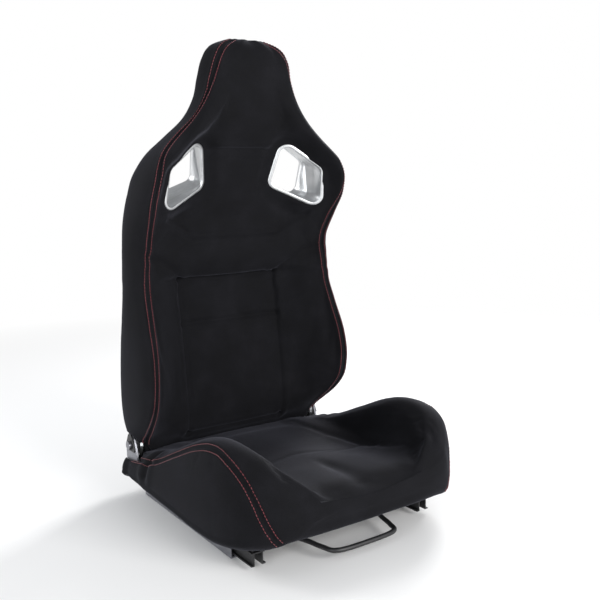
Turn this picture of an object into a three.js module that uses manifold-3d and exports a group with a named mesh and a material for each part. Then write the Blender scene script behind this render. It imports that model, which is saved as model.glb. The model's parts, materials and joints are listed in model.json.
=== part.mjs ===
// Reclining racing seat: floor rails, sliding base, cushion, recliners and a winged backrest.
// Units are millimetres. Up is +Z, the seat faces -Y and the occupant's left is +X.
// The origin is the underside of the lower rails, midway between them and at mid length.
import * as THREE from 'three';
import { mergeVertices } from 'three/addons/utils/BufferGeometryUtils.js';
import Module from 'manifold-3d';

const wasm = await Module();
wasm.setup();

// ---- Driving sizes -------------------------------------------------------------------
// The seat is drawn about the middle of its rails. The part's own origin is the middle of
// its whole footprint on the floor, so the finished group is moved by this much.
const FOOTPRINT_X = 2.131;
const FOOTPRINT_Y = -47;

const RAIL_X = 192;
const RAIL_HALF_WIDTH = 18;
const RAIL_WALL = 2.3;
const RAIL_HEIGHT = 22;
const RAIL_HALF_LENGTH = 180;
const RAIL_TOP = 32;
const UPPER_RAIL_FRONT = -242;
const UPPER_RAIL_REAR = 192;
const BALL_RADIUS = 2.7;
const BALL_HEIGHT = 5.15;

const PIVOT_Y = 187;
const PIVOT_Z = 112;
const HINGE_GROOVE = 31;
const ARM_INNER = 226;
const ARM_OUTER = 230.4;
const BRACKET_INNER = 231;
const BRACKET_OUTER = 235;
const ROD_Y = 150;
const ROD_Z = 60;
const ROD_RADIUS = 4;

const COVER_THICKNESS = 5;
const FOAM_INSET = 7;
const GAP = 0.5;
const RING_SAMPLES = 2;
const SLIVER = 0.04;

// ---- Materials -----------------------------------------------------------------------
function material(color, roughness, metalness) {
  return new THREE.MeshStandardMaterial({ color, roughness, metalness });
}
const fabric = material(0x1f1f24, 0.95, 0);
const foam = material(0xd9cf9a, 0.9, 0);
const satinAluminium = material(0xc9ccd0, 0.35, 0.9);
const zinc = material(0xb8bec6, 0.4, 0.85);
const blackSteel = material(0x17181a, 0.5, 0.4);
const springSteel = material(0x6d7278, 0.45, 0.8);
const blackPlastic = material(0x141416, 0.6, 0);
const bronze = material(0x9a7a45, 0.4, 0.8);
const trimTape = material(0x55555c, 0.85, 0);

// ---- Group and mesh helpers ----------------------------------------------------------
const group = new THREE.Group();
group.name = 'racing_seat';

function addMesh(name, geometry, look) {
  const mesh = new THREE.Mesh(geometry, look);
  mesh.name = name;
  group.add(mesh);
}

// Adds a left and a right copy. The left one has positive X.
function addPair(name, geometry, look) {
  addMesh(`${name}_left`, geometry, look);
  addMesh(`${name}_right`, mirrored(geometry), look);
}

function cleaned(geometry) {
  const copy = geometry.clone();
  copy.deleteAttribute('normal');
  copy.deleteAttribute('uv');
  return mergeVertices(copy, 1e-4);
}

function signedVolume(geometry) {
  const position = geometry.getAttribute('position');
  const index = geometry.getIndex();
  const a = new THREE.Vector3();
  const b = new THREE.Vector3();
  const c = new THREE.Vector3();
  let volume = 0;
  for (let i = 0; i < index.count; i += 3) {
    a.fromBufferAttribute(position, index.getX(i));
    b.fromBufferAttribute(position, index.getX(i + 1));
    c.fromBufferAttribute(position, index.getX(i + 2));
    volume += a.dot(b.cross(c)) / 6;
  }
  return volume;
}

// Turns the faces outward when the shape was wound inside out.
function facedOut(geometry) {
  const result = cleaned(geometry);
  if (signedVolume(result) < 0) {
    const order = result.getIndex().array;
    for (let i = 0; i < order.length; i += 3) {
      const keep = order[i];
      order[i] = order[i + 1];
      order[i + 1] = keep;
    }
  }
  return result;
}

function mirrored(geometry) {
  const copy = cleaned(geometry);
  copy.scale(-1, 1, 1);
  return facedOut(copy);
}

function toSolid(geometry) {
  const clean = facedOut(geometry);
  return new wasm.Manifold(new wasm.Mesh({
    numProp: 3,
    vertProperties: new Float32Array(clean.getAttribute('position').array),
    triVerts: new Uint32Array(clean.getIndex().array),
  }));
}

// Facets finer than the sliver size are merged away.
function toGeometry(solid) {
  const mesh = solid.simplify(SLIVER).getMesh();
  const geometry = new THREE.BufferGeometry();
  geometry.setAttribute('position', new THREE.BufferAttribute(mesh.vertProperties, 3));
  geometry.setIndex(new THREE.BufferAttribute(mesh.triVerts, 1));
  return geometry;
}

function cut(geometry, ...tools) {
  let solid = toSolid(geometry);
  for (const tool of tools) {
    solid = solid.subtract(toSolid(tool));
  }
  return toGeometry(solid);
}

function join(geometry, ...others) {
  let solid = toSolid(geometry);
  for (const other of others) {
    solid = solid.add(toSolid(other));
  }
  return toGeometry(solid);
}

// ---- Shape helpers -------------------------------------------------------------------
function box(x0, x1, y0, y1, z0, z1) {
  const geometry = new THREE.BoxGeometry(x1 - x0, y1 - y0, z1 - z0);
  geometry.translate((x0 + x1) / 2, (y0 + y1) / 2, (z0 + z1) / 2);
  return geometry;
}

// Cylinder whose axis runs along X.
function rodX(x0, x1, y, z, radius, sides = 20) {
  const geometry = new THREE.CylinderGeometry(radius, radius, Math.abs(x1 - x0), sides);
  geometry.rotateZ(Math.PI / 2);
  geometry.translate((x0 + x1) / 2, y, z);
  return geometry;
}

// Cylinder whose axis runs along Z.
function rodZ(x, y, z0, z1, radius, sides = 14) {
  const geometry = new THREE.CylinderGeometry(radius, radius, z1 - z0, sides);
  geometry.rotateX(Math.PI / 2);
  geometry.translate(x, y, (z0 + z1) / 2);
  return geometry;
}

// Flat plate drawn in the YZ plane and given thickness along X.
function plateYZ(shape, x0, x1, curveSegments = 5) {
  const geometry = new THREE.ExtrudeGeometry(shape, {
    depth: x1 - x0,
    bevelEnabled: false,
    curveSegments,
  });
  const basis = new THREE.Matrix4().makeBasis(
    new THREE.Vector3(0, 1, 0),
    new THREE.Vector3(0, 0, 1),
    new THREE.Vector3(1, 0, 0),
  );
  geometry.applyMatrix4(basis);
  geometry.translate(x0, 0, 0);
  return geometry;
}

// Profile drawn in the XZ plane and run along Y.
function profileAlongY(shape, y0, y1) {
  const geometry = new THREE.ExtrudeGeometry(shape, { depth: y1 - y0, bevelEnabled: false });
  geometry.rotateX(Math.PI / 2);
  geometry.translate(0, y1, 0);
  return geometry;
}

function polygon(points) {
  return new THREE.Shape(points.map(([u, v]) => new THREE.Vector2(u, v)));
}

// Round tube or wire swept along a smooth path.
function tube(points, radius, steps, sides = 10) {
  const path = new THREE.CatmullRomCurve3(
    points.map(([x, y, z]) => new THREE.Vector3(x, y, z)), false, 'centripetal');
  const outline = new THREE.Shape();
  for (let i = 0; i < sides; i += 1) {
    const turn = (i / sides) * Math.PI * 2;
    const u = radius * Math.cos(turn);
    const v = radius * Math.sin(turn);
    if (i === 0) {
      outline.moveTo(u, v);
    } else {
      outline.lineTo(u, v);
    }
  }
  outline.closePath();
  return new THREE.ExtrudeGeometry(outline, { steps, bevelEnabled: false, extrudePath: path });
}

// Skins a list of rings that all hold the same number of points; capped or joined at the ends.
function skin(rings, closedLoop = false) {
  const count = rings[0].length;
  const positions = [];
  const faces = [];
  for (const ring of rings) {
    for (const point of ring) {
      positions.push(point[0], point[1], point[2]);
    }
  }
  const last = closedLoop ? rings.length : rings.length - 1;
  for (let i = 0; i < last; i += 1) {
    const here = i * count;
    const next = ((i + 1) % rings.length) * count;
    for (let j = 0; j < count; j += 1) {
      const k = (j + 1) % count;
      faces.push(here + j, here + k, next + k);
      faces.push(here + j, next + k, next + j);
    }
  }
  if (!closedLoop) {
    for (const end of [0, rings.length - 1]) {
      const middle = [0, 0, 0];
      for (const point of rings[end]) {
        middle[0] += point[0] / count;
        middle[1] += point[1] / count;
        middle[2] += point[2] / count;
      }
      const hub = positions.length / 3;
      positions.push(...middle);
      for (let j = 0; j < count; j += 1) {
        const k = (j + 1) % count;
        if (end === 0) {
          faces.push(end * count + k, end * count + j, hub);
        } else {
          faces.push(end * count + j, end * count + k, hub);
        }
      }
    }
  }
  const geometry = new THREE.BufferGeometry();
  geometry.setAttribute('position', new THREE.Float32BufferAttribute(positions, 3));
  geometry.setIndex(faces);
  return facedOut(geometry);
}

// Smooth closed loop through flat points, sampled evenly between neighbours.
function smoothLoop(points, samples) {
  const curve = new THREE.CatmullRomCurve3(
    points.map(([u, v]) => new THREE.Vector3(u, v, 0)), true, 'centripetal');
  const total = points.length * samples;
  const loop = [];
  for (let i = 0; i < total; i += 1) {
    const point = curve.getPoint(i / total);
    loop.push([point.x, point.y]);
  }
  return loop;
}

// ---- Backrest shape ------------------------------------------------------------------
// Each row is one level section. Columns: z, half width, rear centre y, rear corner x and y,
// wing tip x and y, bolster foot x and y, front centre y.
const BACK_LEVELS = [
  [88, 200, 197, 190, 196, 192, 178, 120, 177, 177],
  [97, 213, 207, 202, 206, 202, 167, 124, 166, 166],
  [112, 224, 210, 214, 208, 216, 160, 128, 157, 157],
  [131, 237, 215, 227, 210, 226, 148, 130, 141, 141],
  [152, 244, 218, 235, 211, 234, 124, 131, 134, 134],
  [180, 249, 221, 240, 210, 241, 90, 133, 132, 133],
  [210, 252, 222, 242, 208, 245, 63, 133, 134, 135],
  [260, 253, 222, 242, 206, 246, 48, 131, 139, 141],
  [320, 251, 219, 241, 204, 243, 53, 129, 147, 149],
  [390, 246, 215, 239, 201, 238, 80, 127, 158, 161],
  [448, 243, 211, 237, 197, 235, 99, 125, 168, 172],
  [466, 243, 210, 237, 196, 234, 102, 127, 158, 161],
  [490, 243, 208, 237, 193, 233, 103, 131, 139, 142],
  [530, 243, 204, 236, 189, 231, 103, 135, 128, 132],
  [590, 244, 196, 236, 175, 233, 71, 150, 109, 127],
  [638, 240, 186, 232, 159, 229, 35, 157, 88, 116],
  [680, 231, 175, 224, 143, 213, 13, 152, 77, 104],
  [716, 208, 160, 200, 132, 186, 9, 138, 76, 93],
  [750, 172, 147, 163, 127, 155, 16, 110, 70, 77],
  [786, 132, 139, 122, 123, 120, 24, 74, 46, 50],
  [826, 109, 133, 99, 118, 99, 29, 44, 29, 31],
  [869, 102, 120, 90, 109, 90, 31, 40, 27, 27],
  [904, 95, 107, 81, 98, 85, 35, 36, 31, 30],
  [923, 83, 98, 69, 91, 73, 41, 32, 36, 35],
  [935, 68, 90, 54, 85, 56, 49, 24, 46, 45],
  [941, 46, 82, 36, 78, 36, 57, 14, 55, 55],
];

function backOutline(row) {
  const [, halfWidth, rearY, cornerX, cornerY, tipX, tipY, footX, footY, frontY] = row;
  const depth = cornerY - tipY;
  const soft = Math.min(22, depth * 0.28);
  const side = [
    [cornerX * 0.55, rearY - (rearY - cornerY) * 0.12],
    [cornerX - soft * 0.55, cornerY + soft * 0.1],
    [halfWidth, cornerY - soft],
    [tipX + (halfWidth - tipX) * 0.6, tipY + soft],
    [tipX - soft * 0.45, tipY],
    [tipX - soft * 1.7, tipY + (footY - tipY) * 0.3],
    [footX, footY],
  ];
  const other = side.map(([x, y]) => [-x, y]).reverse();
  return [[0, rearY], ...side, [0, frontY], ...other];
}

// The same section with every wall moved inward by a distance.
function shrunkBackRow(row, d) {
  const [z, halfWidth, rearY, cornerX, cornerY, tipX, tipY, footX, footY, frontY] = row;
  return [
    z, halfWidth - d, rearY - d, cornerX - d, cornerY - d,
    tipX, tipY + d, footX, footY + d, frontY + d,
  ];
}

// The full backrest body, optionally shrunk; the ends move in by their own shifts.
function backBody(inset, bottomShift, topShift, samples) {
  const last = BACK_LEVELS.length - 1;
  const rings = BACK_LEVELS.map((row, i) => {
    const shift = (i === 0 ? bottomShift : 0) - (i === last ? topShift : 0);
    const loop = smoothLoop(backOutline(shrunkBackRow(row, inset)), samples);
    return loop.map(([x, y]) => [x, y, row[0] + shift]);
  });
  return skin(rings);
}

// ---- Cushion shape -------------------------------------------------------------------
// Each row is one upright section across the seat. Columns: y, half width, underside z,
// bolster top x and z, bolster foot x and z, centre z.
const CUSHION_STATIONS = [
  [229, 222, 50, 202, 76, 130, 82, 83],
  [222, 236, 45, 214, 82, 132, 91, 93],
  [180, 247, 43, 226, 94, 134, 106, 109],
  [130, 250, 41, 228, 108, 136, 112, 116],
  [50, 252, 38, 229, 131, 138, 114, 119],
  [-40, 252, 36, 229, 170, 138, 114, 121],
  [-125, 252, 34, 228, 206, 138, 116, 124],
  [-185, 250, 36, 226, 221, 138, 120, 128],
  [-234, 244, 44, 221, 219, 138, 124, 131],
  [-270, 230, 52, 207, 204, 134, 128, 132],
  [-298, 206, 62, 184, 174, 120, 131, 130],
  [-315, 176, 78, 156, 148, 90, 127, 125],
  [-323, 138, 97, 122, 126, 62, 117, 116],
];

function cushionOutline(row, drop) {
  const [, halfWidth, low, tipX, tipZ, footX, footZ, centreZ] = row;
  const height = tipZ - low;
  const soft = Math.min(24, height * 0.3);
  const side = [
    [halfWidth * 0.7, low - drop],
    [halfWidth - soft * 0.3, low + soft * 0.15 - drop],
    [halfWidth, low + soft],
    [tipX + (halfWidth - tipX) * 0.75, tipZ - soft],
    [tipX - soft * 0.4, tipZ],
    [tipX - soft * 1.7, tipZ + (footZ - tipZ) * 0.12],
    [footX + 12, footZ + (tipZ - footZ) * 0.1],
  ];
  const other = side.map(([x, z]) => [-x, z]).reverse();
  return [[0, low - drop], ...side, [0, centreZ], ...other];
}

// Forward of this line the cover also closes the underside of the nose.
const NOSE_START = -290;

// The same section with its sides and top moved inward by a distance.
function shrunkCushionRow(row, d) {
  const [y, halfWidth, low, tipX, tipZ, footX, footZ, centreZ] = row;
  return [y, halfWidth - d, low, tipX, tipZ - d, footX, footZ - d, centreZ - d];
}

// The full cushion body; the underside drops by a distance except at the nose.
function cushionBody(inset, endShift, drop, samples) {
  const last = CUSHION_STATIONS.length - 1;
  const rings = CUSHION_STATIONS.map((row, i) => {
    const shift = (i === last ? endShift : 0) - (i === 0 ? endShift : 0);
    const sink = row[0] < NOSE_START ? -inset : drop;
    const loop = smoothLoop(cushionOutline(shrunkCushionRow(row, inset), sink), samples);
    return loop.map(([x, z]) => [x, row[0] + shift, z]);
  });
  return skin(rings);
}

// ---- Harness openings ----------------------------------------------------------------
// Corner points of one opening seen from the front: x, z and corner rounding.
const OPENING_CORNERS = [
  [100, 741, 15],
  [181, 690, 17],
  [187, 607, 15],
  [84, 647, 15],
];
const CORNER_POINTS = 4;
const TUNNEL_RISE = 0.25;
const BEZEL_LIP = 8;
const BEZEL_WALL = 2.4;
const BEZEL_PLATE = 2.6;
const BEZEL_SPLIT = 118;

function frontPlaneY(x, z) {
  return 83 - 0.47 * (x - 135) - 0.23 * (z - 670);
}

function rearPlaneY(x, z) {
  return 148 - 0.12 * (x - 135) - 0.42 * (z - 685);
}

// Rounded outline of the opening grown outward by a distance, as x and z points.
function openingLoop(grow) {
  const loop = [];
  const count = OPENING_CORNERS.length;
  OPENING_CORNERS.forEach(([x, z, rounding], i) => {
    const corner = new THREE.Vector2(x, z);
    const before = OPENING_CORNERS[(i + count - 1) % count];
    const after = OPENING_CORNERS[(i + 1) % count];
    const toBefore = new THREE.Vector2(before[0] - x, before[1] - z).normalize();
    const toAfter = new THREE.Vector2(after[0] - x, after[1] - z).normalize();
    const cornerAngle = Math.acos(toBefore.dot(toAfter));
    const toCentre = toBefore.add(toAfter).normalize();
    const centre = corner.clone().addScaledVector(toCentre, rounding / Math.sin(cornerAngle / 2));
    const away = corner.clone().sub(centre);
    const middle = Math.atan2(away.y, away.x);
    const sweep = Math.PI - cornerAngle;
    for (let k = 0; k < CORNER_POINTS; k += 1) {
      const angle = middle + sweep * (0.5 - k / (CORNER_POINTS - 1));
      loop.push([
        centre.x + (rounding + grow) * Math.cos(angle),
        centre.y + (rounding + grow) * Math.sin(angle),
      ]);
    }
  });
  return loop;
}

// Point of the tunnel wall at a given depth; the tunnel climbs toward the rear.
function tunnelPoint([x, z], y) {
  return [x, y, z + (y - 83) * TUNNEL_RISE];
}

function tunnelTool(grow, y0, y1) {
  const loop = openingLoop(grow);
  return skin([
    loop.map((point) => tunnelPoint(point, y0)),
    loop.map((point) => tunnelPoint(point, y1)),
  ]);
}

// Block in front of the front plate (or behind the rear plate) that lets the flange sit flat.
function flangeSeatTool(planeY, depth, reach) {
  const loop = openingLoop(BEZEL_LIP + GAP);
  return skin([
    loop.map(([x, z]) => tunnelPoint([x, z], planeY(x, z) + depth)),
    loop.map(([x, z]) => tunnelPoint([x, z], planeY(x, z) + reach)),
  ]);
}

// Half of a harness guide: a flat lip on the surface and a sleeve running to the split line.
function bezel(planeY, plate, splitY) {
  const hole = openingLoop(0);
  const sleeve = openingLoop(BEZEL_WALL);
  const lip = openingLoop(BEZEL_LIP);
  const onPlane = ([x, z], offset) => tunnelPoint([x, z], planeY(x, z) + offset);
  return skin([
    hole.map((point) => tunnelPoint(point, splitY)),
    hole.map((point) => onPlane(point, 0)),
    lip.map((point) => onPlane(point, plate * 0.35)),
    lip.map((point) => onPlane(point, plate)),
    sleeve.map((point) => onPlane(point, plate)),
    sleeve.map((point) => tunnelPoint(point, splitY)),
  ], true);
}

// ---- Floor rails, ball cages and sliding rails ---------------------------------------
const NOTCH_PITCH = 16;
const NOTCH_COUNT = 9;
const NOTCH_MIDDLE_Y = -52;
const MOUNT_HOLE_Y = 158;
const MOUNT_HOLE_RADIUS = 4.5;
const LATCH_PIVOT_Y = -60;
const LATCH_PIVOT_Z = 27;

function lowerRail() {
  const w = RAIL_HALF_WIDTH;
  const inner = w - RAIL_WALL;
  const lip = 11;
  const profile = polygon([
    [-w, 0], [w, 0], [w, RAIL_HEIGHT], [lip, RAIL_HEIGHT],
    [lip, RAIL_HEIGHT - RAIL_WALL], [inner, RAIL_HEIGHT - RAIL_WALL],
    [inner, RAIL_WALL], [-inner, RAIL_WALL],
    [-inner, RAIL_HEIGHT - RAIL_WALL], [-lip, RAIL_HEIGHT - RAIL_WALL],
    [-lip, RAIL_HEIGHT], [-w, RAIL_HEIGHT],
  ]);
  const rail = profileAlongY(profile, -RAIL_HALF_LENGTH, RAIL_HALF_LENGTH);
  rail.translate(RAIL_X, 0, 0);
  const tools = [-1, 1].map((end) => rodZ(RAIL_X, end * MOUNT_HOLE_Y, -2, 4, MOUNT_HOLE_RADIUS));
  for (let i = 0; i < NOTCH_COUNT; i += 1) {
    const y = NOTCH_MIDDLE_Y + (i - (NOTCH_COUNT - 1) / 2) * NOTCH_PITCH;
    tools.push(box(RAIL_X - 15, RAIL_X - lip + 1, y - 5, y + 5, 16, RAIL_HEIGHT + 2));
  }
  return cut(rail, ...tools);
}

function upperRail() {
  const top = 13;
  const leg = 9.7;
  const legInner = leg - RAIL_WALL;
  const foot = 14.6;
  const footLow = 8;
  const footHigh = footLow + RAIL_WALL;
  const under = RAIL_TOP - RAIL_WALL;
  const profile = polygon([
    [-top, RAIL_TOP], [-top, under], [-leg, under], [-leg, footHigh],
    [-foot, footHigh], [-foot, footLow], [-legInner, footLow], [-legInner, under],
    [legInner, under], [legInner, footLow], [foot, footLow], [foot, footHigh],
    [leg, footHigh], [leg, under], [top, under], [top, RAIL_TOP],
  ]);
  const rail = profileAlongY(profile, UPPER_RAIL_FRONT, UPPER_RAIL_REAR);
  rail.translate(RAIL_X, 0, 0);
  const holes = FRAME_BOLT_Y.map((y) => rodZ(FRAME_BOLT_X, y, 26, 36, BOLT_HOLE, 10));
  return cut(rail, ...holes);
}

function ballCage() {
  const strip = box(RAIL_X - 13.4, RAIL_X + 13.4, -92, 92, BALL_HEIGHT - 0.6, BALL_HEIGHT + 0.6);
  const balls = [];
  for (const side of [-1, 1]) {
    for (const y of [-84, 84]) {
      const ball = new THREE.OctahedronGeometry(BALL_RADIUS, 1);
      ball.translate(RAIL_X + side * 11.4, y, BALL_HEIGHT);
      balls.push(ball);
    }
  }
  return join(strip, ...balls);
}

// ---- Slide release -------------------------------------------------------------------
const HANDLE_RADIUS = 4.5;

function slideHandle() {
  const half = [
    [178, LATCH_PIVOT_Y, LATCH_PIVOT_Z], [170, LATCH_PIVOT_Y, LATCH_PIVOT_Z],
    [160, LATCH_PIVOT_Y - 2, LATCH_PIVOT_Z], [150, -80, 26], [132, -150, 24],
    [92, -226, 22], [79, -272, 21], [64, -298, 20.5],
  ];
  const other = half.map(([x, y, z]) => [-x, y, z]).reverse();
  return tube([...half, [0, -303, 20.5], ...other], HANDLE_RADIUS, 36, 6);
}

function slideLatch() {
  const plate = plateYZ(polygon([
    [-50, 20], [-50, 34], [-70, 36], [-122, 29.4], [-122, 22.5], [-74, 20],
  ]), 170.6, 173);
  const tab = box(172, 180, -122, -110, 22.5, 25.5);
  const pivotHole = rodX(168, 176, LATCH_PIVOT_Y, LATCH_PIVOT_Z, HANDLE_RADIUS + 0.9, 14);
  return cut(join(plate, tab), pivotHole);
}

// ---- Seat base frame -----------------------------------------------------------------
const WEB_INNER = 199;
const WEB_OUTER = 201.5;
const FRAME_BOLT_X = 188;
const FRAME_BOLT_Y = [-150, 144];
const BRACKET_BOLT_Y = 186;
const BRACKET_BOLT_Z = 44.5;
const BOLT_RADIUS = 3;
const BOLT_HOLE = 3.5;
const CUSHION_TUBE_Z = 60;
const CUSHION_TUBE_FRONT = -205;
const CUSHION_TUBE_REAR = 112;
const CUSHION_SPRING_Z = 74;
const CUSHION_SPRING_SPACING = 110;
const CROSS_TUBE_RADIUS = 11;
const CROSS_TUBE_HALF = WEB_INNER - GAP;

function cushionSideFrame() {
  const web = plateYZ(polygon([
    [-238, 32.3], [214, 32.3], [214, 54], [134, 54], [126, 86], [-222, 86], [-238, 68],
  ]), WEB_INNER, WEB_OUTER);
  const flange = box(FRAME_BOLT_X - 8, WEB_INNER + 1, -200, 194, 32.3, 34.8);
  const flangeHoles = FRAME_BOLT_Y.map((y) => rodZ(FRAME_BOLT_X, y, 30, 38, BOLT_HOLE, 10));
  const sideHole = rodX(196, 204, BRACKET_BOLT_Y, BRACKET_BOLT_Z, BOLT_HOLE, 10);
  return cut(join(web, flange), ...flangeHoles, sideHole);
}

function frameBolt(y) {
  const head = rodZ(FRAME_BOLT_X, y, 35, 39, 6.2, 6);
  const shank = rodZ(FRAME_BOLT_X, y, 27, 35.5, BOLT_RADIUS, 10);
  return join(head, shank);
}

function cushionTube(y) {
  return rodX(-CROSS_TUBE_HALF, CROSS_TUBE_HALF, y, CUSHION_TUBE_Z, CROSS_TUBE_RADIUS, 16);
}

function bracketBolt() {
  const head = rodX(193.5, 198.6, BRACKET_BOLT_Y, BRACKET_BOLT_Z, 6.2, 6);
  const shank = rodX(198, 208, BRACKET_BOLT_Y, BRACKET_BOLT_Z, BOLT_RADIUS, 10);
  return join(head, shank);
}

// Wire bent to and fro about a straight line; used for the seat and back suspension.
function zigzagWire(place, from, to, waves, swing) {
  const points = [];
  const quarters = waves * 4;
  for (let i = 0; i <= quarters; i += 1) {
    const along = from + ((to - from) * i) / quarters;
    points.push(place(along, swing * Math.sin((i * Math.PI) / 2)));
  }
  return tube(points, 2, quarters, 5);
}

function cushionSpring(x) {
  const place = (along, swing) => [x + swing, along, CUSHION_SPRING_Z];
  return zigzagWire(place, CUSHION_TUBE_FRONT - 7, CUSHION_TUBE_REAR + 7, 5, 22);
}

function backSpring(z) {
  const place = (along, swing) => [along, BACK_SPRING_Y, z + swing];
  return zigzagWire(place, -BACK_SPRING_HALF, BACK_SPRING_HALF, 6, 20);
}

// ---- Recliners -----------------------------------------------------------------------
const HUB_RADIUS = 24.5;
const TOOTH_TIP = 28;
const SECTOR_TEETH = 8;
const SECTOR_START = -150;
const SECTOR_SWEEP = 120;
const PAWL_FACE = 28.7;
const ARM_TOP = 236;
const ARM_SLOT_HALF = 22.6;
const PIVOT_SHANK = 6;

function aroundPivot(degrees, radius) {
  const angle = THREE.MathUtils.degToRad(degrees);
  return [PIVOT_Y + radius * Math.cos(angle), PIVOT_Z + radius * Math.sin(angle)];
}

// Backrest plate with the toothed sector round the pivot.
function reclinerArm() {
  const points = [];
  const pitch = SECTOR_SWEEP / SECTOR_TEETH;
  for (let i = 0; i < SECTOR_TEETH; i += 1) {
    const at = SECTOR_START + i * pitch;
    points.push(aroundPivot(at, HUB_RADIUS));
    points.push(aroundPivot(at + pitch * 0.3, TOOTH_TIP));
    points.push(aroundPivot(at + pitch * 0.6, TOOTH_TIP));
  }
  points.push(aroundPivot(SECTOR_START + SECTOR_SWEEP, HUB_RADIUS));
  points.push([PIVOT_Y + 22, PIVOT_Z + 10]);
  points.push([PIVOT_Y + 15, ARM_TOP]);
  points.push([PIVOT_Y - 15, ARM_TOP]);
  points.push([PIVOT_Y - 22, PIVOT_Z + 10]);
  const plate = plateYZ(polygon(points), ARM_INNER, ARM_OUTER);
  return cut(plate, rodX(220, 236, PIVOT_Y, PIVOT_Z, 8.5, 16));
}

function pivotBush() {
  const outer = rodX(ARM_INNER, ARM_OUTER, PIVOT_Y, PIVOT_Z, 8.1, 16);
  return cut(outer, rodX(220, 236, PIVOT_Y, PIVOT_Z, PIVOT_SHANK + 0.4, 16));
}

// Seat side plate: an upright outside the arm and a foot running in to the frame web.
function reclinerBracket() {
  const upright = plateYZ(polygon([
    [139, 40], [212, 40], [213, 100], [203, 129], [196, 136],
    [178, 136], [171, 129], [158, 88], [139, 74],
  ]), BRACKET_INNER, BRACKET_OUTER);
  const foot = box(204, BRACKET_INNER + 1, 162, 210, 38, 41);
  const tab = box(202, 205, 162, 210, 38, 54);
  const holes = [
    rodX(228, 238, PIVOT_Y, PIVOT_Z, PIVOT_SHANK + 0.4, 16),
    rodX(228, 238, ROD_Y, ROD_Z, ROD_RADIUS + 0.5, 12),
    rodX(200, 207, BRACKET_BOLT_Y, BRACKET_BOLT_Z, BOLT_HOLE, 10),
  ];
  return cut(join(upright, foot, tab), ...holes);
}

function reclinerCover() {
  const plate = plateYZ(polygon([
    [168, 101], [206, 101], [210, 107], [196, 133], [190, 138], [184, 138], [178, 133], [164, 107],
  ]), BRACKET_OUTER + 0.4, BRACKET_OUTER + 2.8);
  return cut(plate, rodX(232, 242, PIVOT_Y, PIVOT_Z, PIVOT_SHANK + 0.4, 16));
}

function pivotBolt() {
  const head = rodX(BRACKET_OUTER + 3.2, BRACKET_OUTER + 8, PIVOT_Y, PIVOT_Z, 9.5, 18);
  const shank = rodX(215.4, BRACKET_OUTER + 4, PIVOT_Y, PIVOT_Z, PIVOT_SHANK, 16);
  return join(head, shank);
}

function pivotNut() {
  const body = rodX(216, 223, PIVOT_Y, PIVOT_Z, 10, 6);
  return cut(body, rodX(212, 228, PIVOT_Y, PIVOT_Z, PIVOT_SHANK + 0.3, 16));
}

// Flat spiral spring that lifts the backrest.
function reclinerSpring() {
  const steps = 44;
  const turns = 2.2;
  const rings = [];
  for (let i = 0; i <= steps; i += 1) {
    const share = i / steps;
    const angle = -40 + share * turns * 360;
    const radius = 12.5 + 13.5 * share;
    const near = aroundPivot(angle, radius - 0.8);
    const far = aroundPivot(angle, radius + 0.8);
    rings.push([
      [218, near[0], near[1]], [224, near[0], near[1]],
      [224, far[0], far[1]], [218, far[0], far[1]],
    ]);
  }
  return skin(rings);
}

function reclinerPawl() {
  const points = [];
  for (let i = 0; i <= 6; i += 1) {
    points.push(aroundPivot(-120 + i * 10, PAWL_FACE));
  }
  points.push([204, 79], [190, 73], [166, 64], [157, 54], [150, 52.5]);
  points.push([143, 56], [142, 64], [148, 69], [158, 74]);
  const body = plateYZ(polygon(points), ARM_INNER, ARM_OUTER);
  return cut(body, rodX(222, 234, ROD_Y, ROD_Z, ROD_RADIUS + 0.3, 12));
}

const LEVER_INNER = 255.5;
const LEVER_OUTER = 258.5;

function leverOutline(inflate) {
  return polygon([
    [160 + inflate, 55], [161 + inflate, 66], [150, 71 + inflate], [98, 84 + inflate],
    [62, 92 + inflate], [52 - inflate, 89 + inflate], [52 - inflate, 81 - inflate],
    [96, 71 - inflate], [142, 50 - inflate],
  ]);
}

function reclineLever() {
  const arm = plateYZ(leverOutline(0), LEVER_INNER, LEVER_OUTER);
  return cut(arm, rodX(250, 262, ROD_Y, ROD_Z, ROD_RADIUS + 0.3, 12));
}

function leverGrip() {
  const sleeve = box(253, 261, 46, 92, 75, 97);
  return cut(sleeve, plateYZ(leverOutline(0.4), LEVER_INNER - 0.4, LEVER_OUTER + 0.4));
}

// ---- Backrest frame ------------------------------------------------------------------
const LOWER_TUBE_Z = 166;
const LOWER_TUBE_HALF = 204.8;
const BACK_SPRING_Y = 197;
const BACK_SPRING_HALF = 201;
const BACK_SPRING_Z = { upper: 385, lower: 275 };
const POCKET_HALF = 207.5;
const POCKET_FRONT = 188;
const POCKET_LOW = 205;
const POCKET_HIGH = 430;
const HOOP_RADIUS = 10;
const HOOP_HALF = [
  [215.4, 187, 142], [215.4, 186, 220], [215, 183, 310], [212, 178, 400], [207, 172, 480],
  [182, 165, 545], [120, 156, 584], [66, 147, 616], [53, 138, 664], [52, 116, 740],
  [56, 90, 796], [59, 78, 848], [44, 71, 886],
];
const WIRE_RADIUS = 3.5;
const WING_WIRE = [
  [227, 178, 360], [226, 172, 450], [226, 158, 540], [220, 126, 612], [206, 92, 668],
  [190, 78, 714], [150, 86, 754], [104, 100, 778], [72, 94, 796],
];

function backHoop(extra, steps, sides) {
  const other = HOOP_HALF.map(([x, y, z]) => [-x, y, z]).reverse();
  return tube([...HOOP_HALF, [0, 70, 899], ...other], HOOP_RADIUS + extra, steps, sides);
}

function backLowerTube(extra) {
  const half = LOWER_TUBE_HALF + extra * 2;
  return rodX(-half, half, PIVOT_Y, LOWER_TUBE_Z, CROSS_TUBE_RADIUS + extra, 16);
}

function wingWire(extra, steps, sides) {
  return tube(WING_WIRE, WIRE_RADIUS + extra, steps, sides);
}

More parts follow.
